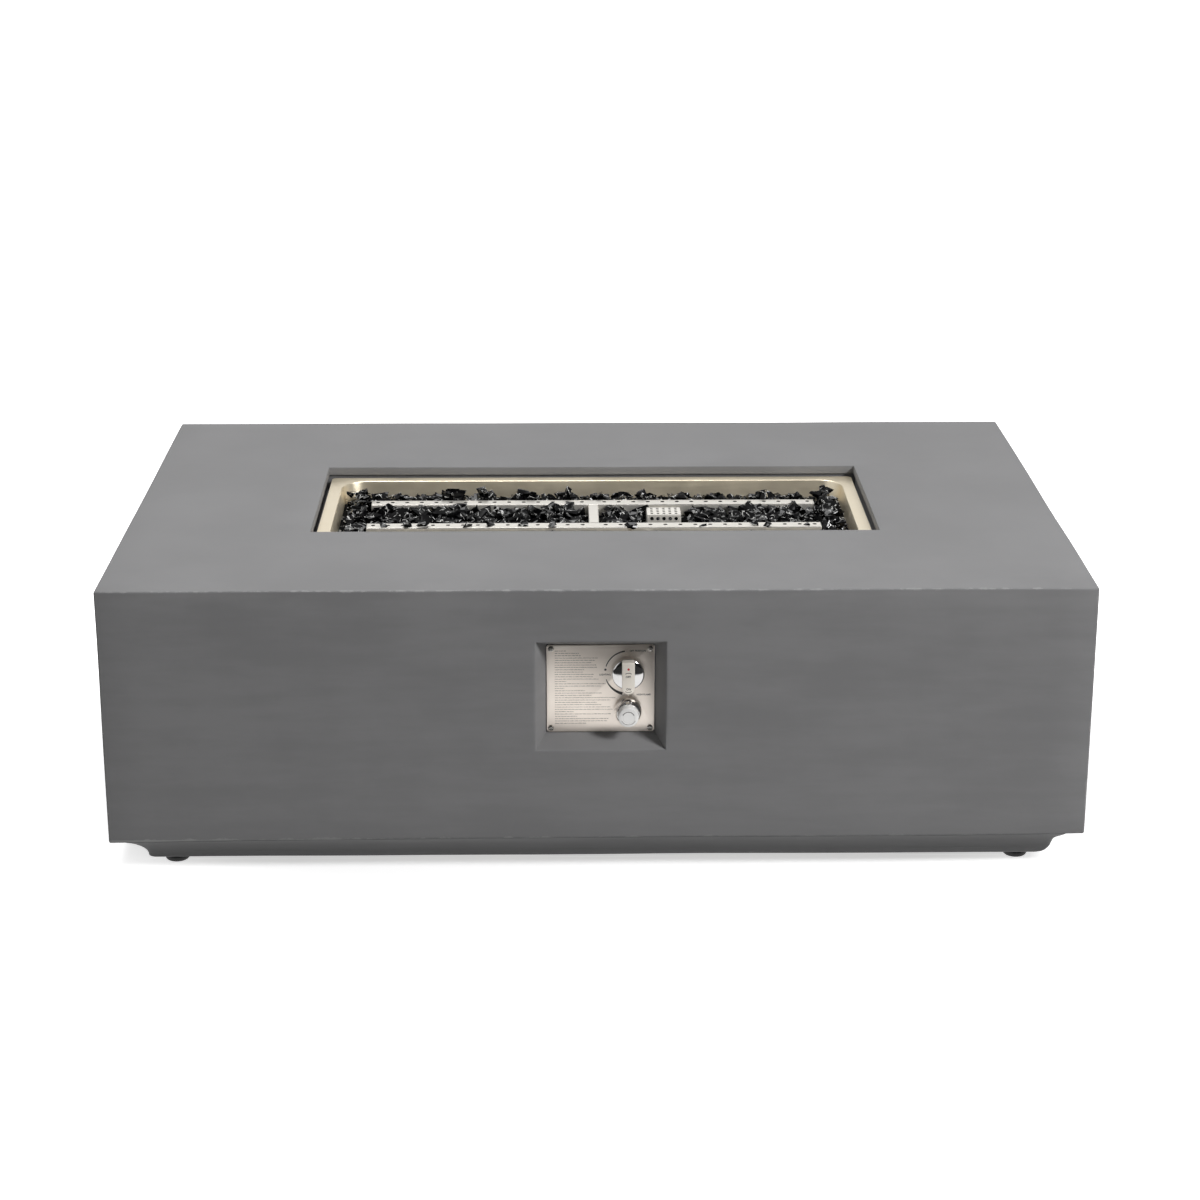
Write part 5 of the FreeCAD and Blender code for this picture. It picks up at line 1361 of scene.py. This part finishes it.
class FIREPIT_OT_plate_marks(bpy.types.Operator):
    """Dial arc, plain words and lines of small print on the face plate"""

    bl_idname = "firepit.plate_marks"
    bl_label = "Plate Marks"

    def execute(self, context):
        settings = context.scene.fire_pit_panel
        lowest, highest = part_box("control_plate")
        chance = random.Random(5)
        top = highest.z - 0.0075
        bottom = lowest.z + 0.0095
        left = lowest.x + 0.009
        bm = bmesh.new()
        for index, length in enumerate(PRINT_ROWS):
            level = top + (bottom - top) * index / (len(PRINT_ROWS) - 1)
            self.printed_line(bm, chance, left, left + 0.001 * length, level, lowest.y)
        add_piece("plate_print", bm, ink_finish("fine_ink", settings.fine_colour), smooth=0)
        finish = ink_finish("plate_ink", settings.print_colour)
        centre = middle("valve_rotor")
        dial = Vector((centre.x, lowest.y, centre.z))
        self.dial(dial, settings.dial_radius, finish)
        for name, text, x, z in (
            ("word_off", "OFF POSITION", 0.0016, 0.0242),
            ("word_lighting", "LIGHTING", -0.0310, -0.0030),
            ("word_high", "HIGH FLAME", 0.0094, -0.0262),
        ):
            lettered(name, text, dial + Vector((x, -PRINT_LIFT, z)), 0.0027, finish)
        return {"FINISHED"}

    @staticmethod
    def printed_line(bm, chance, start, end, level, face):
        """A row of short strokes in groups, as small as fine print."""
        x = start
        while x < end:
            group = x + 0.0012 + 0.0035 * chance.random()
            while x < min(group, end):
                wide = 0.00030 + 0.00040 * chance.random()
                tall = 0.00062 * (0.8 + 0.5 * chance.random())
                block(bm, (x, face - 0.00004, level), (x + wide, face + 0.0001, level + tall))
                x += wide + 0.00020
            x += 0.0005

    @staticmethod
    def dial(centre, radius, finish):
        """A thin arc over the knob, one that thickens to a wedge low on the left, and a dot between them."""
        bm = bmesh.new()
        printed_arc(bm, centre, radius + 0.0004, 98, 163, 0.0016, 0.0011)
        printed_arc(bm, centre, radius + 0.0003, 198, 256, 0.0008, 0.0034)
        join(bm, rod(0.0013, 0.0002, 16, centre + Vector((-radius, 0, 0.0036)), FRONT))
        add_piece("plate_dial", bm, finish, smooth=0)


class FIREPIT_OT_valve_knob(bpy.types.Operator):
    """Chrome knob: a disc with a flat bar handle, its red dot and its ON and OFF marks"""

    bl_idname = "firepit.valve_knob"
    bl_label = "Valve Knob"

    def execute(self, context):
        settings = context.scene.fire_pit_panel
        lowest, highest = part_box("control_knob")
        centre = middle("valve_rotor")
        chrome = polished_finish("knob_chrome", settings.knob_colour, 0.03)
        start, steps = 0.08, 10
        outline = [(0, 0), (0.0168, 0), (0.0174, 0.0004), (0.0176, 0.0011), (0.0174, 0.0018)]
        for step in range(steps + 1):
            angle = start + (QUARTER - start) * step / steps
            outline.append((0.0172 * math.cos(angle), 0.0019 + 0.0026 * math.sin(angle)))
        disc = stand(turned(outline, 64), (centre.x, highest.y, centre.z), FRONT)
        add_piece("knob_dressed", disc, chrome, "control_knob", "control_knob")
        self.handle(settings, Vector((centre.x, highest.y - 0.004, centre.z)), lowest.y)
        self.marks(settings, Vector((centre.x, lowest.y, centre.z)))
        return {"FINISHED"}

    @staticmethod
    def handle(settings, seat, front):
        """A bar across the disc, straight at its upper end and round at its lower one."""
        half_wide, half_long = 0.0068, 0.018
        points = [(-half_wide, half_long), (half_wide, half_long)]
        for step in range(13):
            angle = -math.pi * step / 12
            points.append((half_wide * math.cos(angle), -half_long + half_wide + half_wide * math.sin(angle)))
        bm = extruded_outline(points, seat.y - front)
        round_edges(bm, sharp_edges(bm, 50), 0.0008, 3)
        turn = Matrix.Translation(seat) @ Matrix.Rotation(QUARTER, 4, "X")
        bmesh.ops.transform(bm, verts=bm.verts[:], matrix=turn)
        satin = brushed_finish("knob_satin", settings.handle_colour, (1.0, 1.0, 0.05), 0.42, 0.04, 900.0, 0.4)
        add_piece("knob_handle", bm, satin, body="control_knob")

    @staticmethod
    def marks(settings, centre):
        """The red dot, the two words and the arcs beside them, on the handle's face."""
        dot = rod(0.0013, 0.0002, 20, centre + UP * 0.0108, FRONT)
        red = ink_finish("knob_red", settings.mark_colour)
        add_piece("knob_dot", dot, red, body="control_knob", smooth=30.0)
        ink = ink_finish("knob_ink", (0.004, 0.004, 0.004))
        for name, text, x, z in (("knob_off", "OFF", -0.0031, 0.0012), ("knob_on", "ON", -0.0023, -0.0130)):
            lettered(name, text, centre + Vector((x, -0.00004, z)), 0.0032, ink, "control_knob")
        arcs = bmesh.new()
        for z, start, end in ((0.0005, 55, 125), (-0.0095, 235, 305)):
            printed_arc(arcs, centre + UP * z, 0.0060, start, end, 0.0006)
        add_piece("knob_arcs", arcs, ink, body="control_knob", smooth=0)


# Radius and distance from the plate of the collar's wall: its foot, its dome and its inner edge
COLLAR_PROFILE = (
    (0.01058, 0.0023),
    (0.01058, 0),
    (0.0142, 0),
    (0.0148, 0.0004),
    (0.0150, 0.0016),
    (0.0150, 0.0034),
    (0.0148, 0.0050),
    (0.0145, 0.0066),
    (0.0140, 0.0082),
    (0.0134, 0.0096),
    (0.0127, 0.0108),
    (0.0121, 0.0117),
    (0.0117, 0.0118),
    (0.0114, 0.0116),
    (0.0113, 0.0110),
    (0.0113, 0.0023),
    (0.01058, 0.0023),
)
# Radius and distance behind the front of the button: its skirt's outside, its ringed face and its inside
BUTTON_PROFILE = (
    (0.0110, 0.0012),
    (0.0107, 0.0004),
    (0.0100, 0),
    (0.0068, 0),
    (0.0066, 0.0003),
    (0.0062, 0.0003),
    (0.0060, 0),
    (0, 0),
    (0, 0.0025),
    (0.0095, 0.0025),
)


class FIREPIT_OT_igniter(bpy.types.Operator):
    """Domed chrome collar and bright push button of the igniter"""

    bl_idname = "firepit.igniter"
    bl_label = "Igniter"

    def execute(self, context):
        settings = context.scene.fire_pit_panel
        centre = middle("igniter_collar")
        foot = (centre.x, high("igniter_collar").y, centre.z)
        chrome = polished_finish("igniter_chrome", settings.collar_colour, 0.03)
        collar = stand(turned(COLLAR_PROFILE, 64), foot, FRONT)
        add_piece("collar_dressed", collar, chrome, "igniter_collar", "igniter_cap")
        back = high("igniter_button").y
        length = back - low("igniter_button").y
        skirt = [(0.0095, 0), (0.0110, 0)]
        outline = skirt + [(radius, length - depth) for radius, depth in BUTTON_PROFILE] + skirt[:1]
        button = stand(turned(outline, 64), (centre.x, back, centre.z), FRONT)
        squeeze = (1.0, 1.0, 0.02)
        bright = brushed_finish("button_plating", settings.button_colour, squeeze, 0.22, 0.02, 500.0, 0.1)
        add_piece("button_dressed", button, bright, "igniter_button", "igniter_button")
        face = Vector((centre.x, back - length, centre.z))
        arcs = bmesh.new()
        printed_arc(arcs, face, 0.0066, 25, 155, 0.0008)
        printed_arc(arcs, face, 0.0080, 205, 335, 0.0005)
        ink = ink_finish("button_ink", (0.16, 0.15, 0.14))
        add_piece("button_arcs", arcs, ink, body="igniter_button", smooth=0)
        return {"FINISHED"}


# Springs and fittings


def wound_spring(lowest, highest, wire, turns):
    """Round wire wound along Y inside a sleeve's box, with a closed turn at each end."""
    centre = (lowest + highest) / 2
    start = Vector((highest.x - wire, lowest.y + wire, centre.z))
    bm = bmesh.new()
    last = bmesh.ops.create_circle(bm, segments=8, radius=wire, matrix=Matrix.Translation(start))["verts"]
    last += list(dict.fromkeys(edge for vertex in last for edge in vertex.link_edges))
    closed = 2 * wire
    opened = (highest.y - lowest.y - 2 * wire - 2 * closed) / turns
    steps = 20
    for rise, count in ((closed, 1), (opened, turns), (closed, 1)):
        climb = BACK * (rise / steps)
        last = bmesh.ops.spin(
            bm, geom=last, cent=centre, axis=BACK, dvec=climb, angle=math.tau * count, steps=steps * count
        )["geom_last"]
    bmesh.ops.holes_fill(bm, edges=[edge for edge in bm.edges if edge.is_boundary], sides=0)
    bmesh.ops.recalc_face_normals(bm, faces=bm.faces)
    return bm


class FIREPIT_OT_springs(bpy.types.Operator):
    """Wound return springs behind the knob's stem and inside the igniter's button"""

    bl_idname = "firepit.springs"
    bl_label = "Springs"

    def execute(self, context):
        steel = brushed_finish("spring_wire", (0.56, 0.57, 0.58), ALONG_Z, 0.30, 0.10, 400.0)
        for node, body, joint, travel, wire, turns in (
            ("stem_spring", "control_knob", "knob_push", 0.003, 0.00025, 7),
            ("button_spring", "igniter_button", "igniter_push", 0.004, 0.0003, 5),
        ):
            lowest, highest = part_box(node)
            bm = wound_spring(lowest, highest, wire, turns)
            spring = add_piece(node + "_wound", bm, steel, node, body=body)
            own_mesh(spring)
        return {"FINISHED"}


class FIREPIT_OT_fittings(bpy.types.Operator):
    """Finishes of the fittings that keep their solids: gas train, valve, sensors, fasteners and battery"""

    bl_idname = "firepit.fittings"
    bl_label = "Fittings"

    def execute(self, context):
        brass = brushed_finish("turned_brass", (0.60, 0.42, 0.17), (1.0, 1.0, 8.0), 0.30, 0.10, 300.0)
        zinc = brushed_finish("zinc_steel", (0.52, 0.53, 0.54), ALONG_Z, 0.38, 0.10, 400.0)
        aluminium = brushed_finish("drawn_aluminium", (0.70, 0.71, 0.72), (0.1, 0.1, 1.0), 0.34, 0.06, 500.0)
        casting = moulded_finish("valve_casting", (0.45, 0.45, 0.46), 0.5, 900.0, 1.0)
        plastic = moulded_finish("black_moulding", (0.014, 0.014, 0.015), 0.45)
        rubber = moulded_finish("black_rubber", (0.018, 0.018, 0.018), 0.75)
        ceramic = moulded_finish("white_ceramic", (0.80, 0.79, 0.75), 0.25)
        jacket = moulded_finish("cell_jacket", (0.05, 0.06, 0.07), 0.28)
        for finish, names in (
            (brass, "foot_inserts burner_inlet_nipple burner_lock_nut air_mixer jet_elbow feed_tube_nuts"),
            (brass, "thermocouple_lead thermocouple_nut plate_inserts safety_magnet gas_inlet_fitting"),
            (brass, "valve_rotor contact_pin"),
            (zinc, "base_cleats cleat_screws pilot_guard_screws thermocouple electrode_rod"),
            (zinc, "valve_mounting_screws valve_stem"),
            (aluminium, "gas_feed_tube"),
            (casting, "valve_body"),
            (plastic, "igniter_housing igniter_lock_nut button_guide"),
            (rubber, "ignition_wire lead_grommets"),
            (ceramic, "electrode_insulator"),
            (jacket, "igniter_battery"),
        ):
            recoat(names.split(), finish)
        return {"FINISHED"}


# Stage


def lamp(name, place, aim, power, size):
    light = bpy.data.lights.new(name, "AREA")
    light.energy = power
    light.shape = "RECTANGLE"
    light.size = size
    light.size_y = size
    holder = link(name, light)
    holder.location = place
    holder.rotation_euler = (Vector(aim) - Vector(place)).to_track_quat("-Z", "Y").to_euler()


class FIREPIT_OT_stage(bpy.types.Operator):
    """White floor, soft lamps and the camera at the photograph's view"""

    bl_idname = "firepit.stage"
    bl_label = "Stage"

    def execute(self, context):
        settings = context.scene.fire_pit_stage
        self.floor(settings)
        self.room(context.scene, settings)
        lamp("top_lamp", (-0.45, 0.3, 2.8), (0, 0, 0.3), settings.top_light, 1.3)
        lamp("key_lamp", (2.70, -2.35, 2.75), (0, -0.3, 0.2), settings.key_light, 0.9)
        view = bpy.data.cameras.new("photo_view")
        view.lens = 78.41
        view.sensor_width = 36.0
        view.clip_start = 0.05
        view.clip_end = 60.0
        heading, dip, roll = math.radians(-0.974), math.radians(18.632), math.radians(0.078)
        place = Matrix.Translation((-0.0428, -2.9731, 1.2040))
        turn = Matrix.Rotation(heading, 4, "Z") @ Matrix.Rotation(QUARTER - dip, 4, "X")
        context.scene.camera = link("photo_view", view)
        context.scene.camera.matrix_world = place @ turn @ Matrix.Rotation(roll, 4, "Z")
        context.scene.view_settings.view_transform = "Standard"
        return {"FINISHED"}

    @staticmethod
    def floor(settings):
        """A floor that looks white to the camera, and dim to metal except behind the table."""
        bm = bmesh.new()
        bmesh.ops.create_grid(bm, x_segments=2, y_segments=2, size=12.0)
        mesh = bpy.data.meshes.new("floor")
        bm.to_mesh(mesh)
        bm.free()
        finish = Finish("floor_paint")
        rays = finish.add("ShaderNodeLightPath").outputs
        behind = finish.ramp(finish.parts(finish.place)["Y"], -1.02, -0.90)
        dim = finish.times(rays["Is Glossy Ray"], finish.minus(1.0, behind))
        bounce = shaded(settings.floor_colour, settings.floor_bounce)
        lower = finish.blend(dim, bounce, shaded((0.03, 0.03, 0.03)))
        colour = finish.blend(rays["Is Camera Ray"], lower, shaded(settings.floor_colour))
        mesh.materials.append(finish.done(colour, 0.9, specular=0.1))
        oval = finish.stretched(finish.place, (1.05, 1.5, 1.0))
        reach = finish.vector("LENGTH", {0: oval}, "Value")
        far = finish.times(finish.ramp(reach, 0.57, 0.95), 0.75)
        mirrored = finish.times(finish.times(rays["Is Glossy Ray"], behind), 0.85)
        seen = finish.times(rays["Is Camera Ray"], finish.plus(far, settings.floor_glow))
        finish.feed(finish.shader["Emission Strength"], finish.plus(seen, mirrored))
        finish.shader["Emission Color"].default_value = (1, 1, 1, 1)
        link("floor", mesh)

    @staticmethod
    def room(scene, settings):
        """Even light in the room, seen as plain white by the camera and as bright panels in reflections."""
        world = bpy.data.worlds.new("room")
        scene.world = world
        world.use_nodes = True
        wiring = Wiring(world.node_tree)
        world.node_tree.nodes.clear()
        rays = wiring.add("ShaderNodeLightPath").outputs
        way = wiring.parts(wiring.add("ShaderNodeTexCoord").outputs["Generated"])
        low_down = wiring.minus(1.0, wiring.ramp(way["Z"], 0.45, 0.65))
        behind = wiring.times(wiring.ramp(way["Y"], -0.05, 0.2), low_down)
        overhead = wiring.times(wiring.ramp(way["Z"], 0.55, 0.75), 0.45)
        beside = wiring.times(wiring.ramp(wiring.times(way["X"], -1.0), 0.50, 0.62), 0.9)
        bright = wiring.most(wiring.most(behind, overhead), beside)
        mirrored = wiring.plus(0.02, wiring.times(bright, 0.95))
        plain = wiring.blend(rays["Is Glossy Ray"], shaded([settings.room_light] * 3), mirrored)
        colour = wiring.blend(rays["Is Camera Ray"], plain, (1, 1, 1, 1))
        room = wiring.add("ShaderNodeBackground", {"Color": colour, "Strength": 1.0})
        wiring.add("ShaderNodeOutputWorld", {"Surface": room.outputs[0]})


class FIREPIT_PT_table(bpy.types.Panel):
    bl_idname = "FIREPIT_PT_table"
    bl_label = "Fire Pit Table"
    bl_space_type = "VIEW_3D"
    bl_region_type = "UI"
    bl_category = "Fire Pit"

    def draw(self, context):
        for operator in OPERATORS:
            self.layout.operator(operator.bl_idname)
        for name in SETTINGS:
            box = self.layout.box()
            group = getattr(context.scene, name)
            for key in group.bl_rna.properties.keys():
                if key not in ("rna_type", "name"):
                    box.prop(group, key)


SETTINGS = {
    "fire_pit_cast": CastSettings,
    "fire_pit_pan": PanSettings,
    "fire_pit_burner": BurnerSettings,
    "fire_pit_glass": GlassSettings,
    "fire_pit_panel": PanelSettings,
    "fire_pit_stage": StageSettings,
}
OPERATORS = [
    FIREPIT_OT_cast_box,
    FIREPIT_OT_plinth,
    FIREPIT_OT_levelling_feet,
    FIREPIT_OT_burner_pan,
    FIREPIT_OT_burner,
    FIREPIT_OT_sensor_guard,
    FIREPIT_OT_fire_glass,
    FIREPIT_OT_control_plate,
    FIREPIT_OT_plate_marks,
    FIREPIT_OT_valve_knob,
    FIREPIT_OT_igniter,
    FIREPIT_OT_springs,
    FIREPIT_OT_fittings,
    FIREPIT_OT_stage,
]
CLASSES = (*SETTINGS.values(), *OPERATORS, FIREPIT_PT_table)


def register():
    for cls in CLASSES:
        bpy.utils.register_class(cls)
    for name, group in SETTINGS.items():
        setattr(bpy.types.Scene, name, PointerProperty(type=group))


def unregister():
    for name in SETTINGS:
        delattr(bpy.types.Scene, name)
    for cls in reversed(CLASSES):
        bpy.utils.unregister_class(cls)


def main():
    register()
    for operator in OPERATORS:
        section, call = operator.bl_idname.split(".")
        getattr(getattr(bpy.ops, section), call)()


if __name__ == "__main__":
    main()
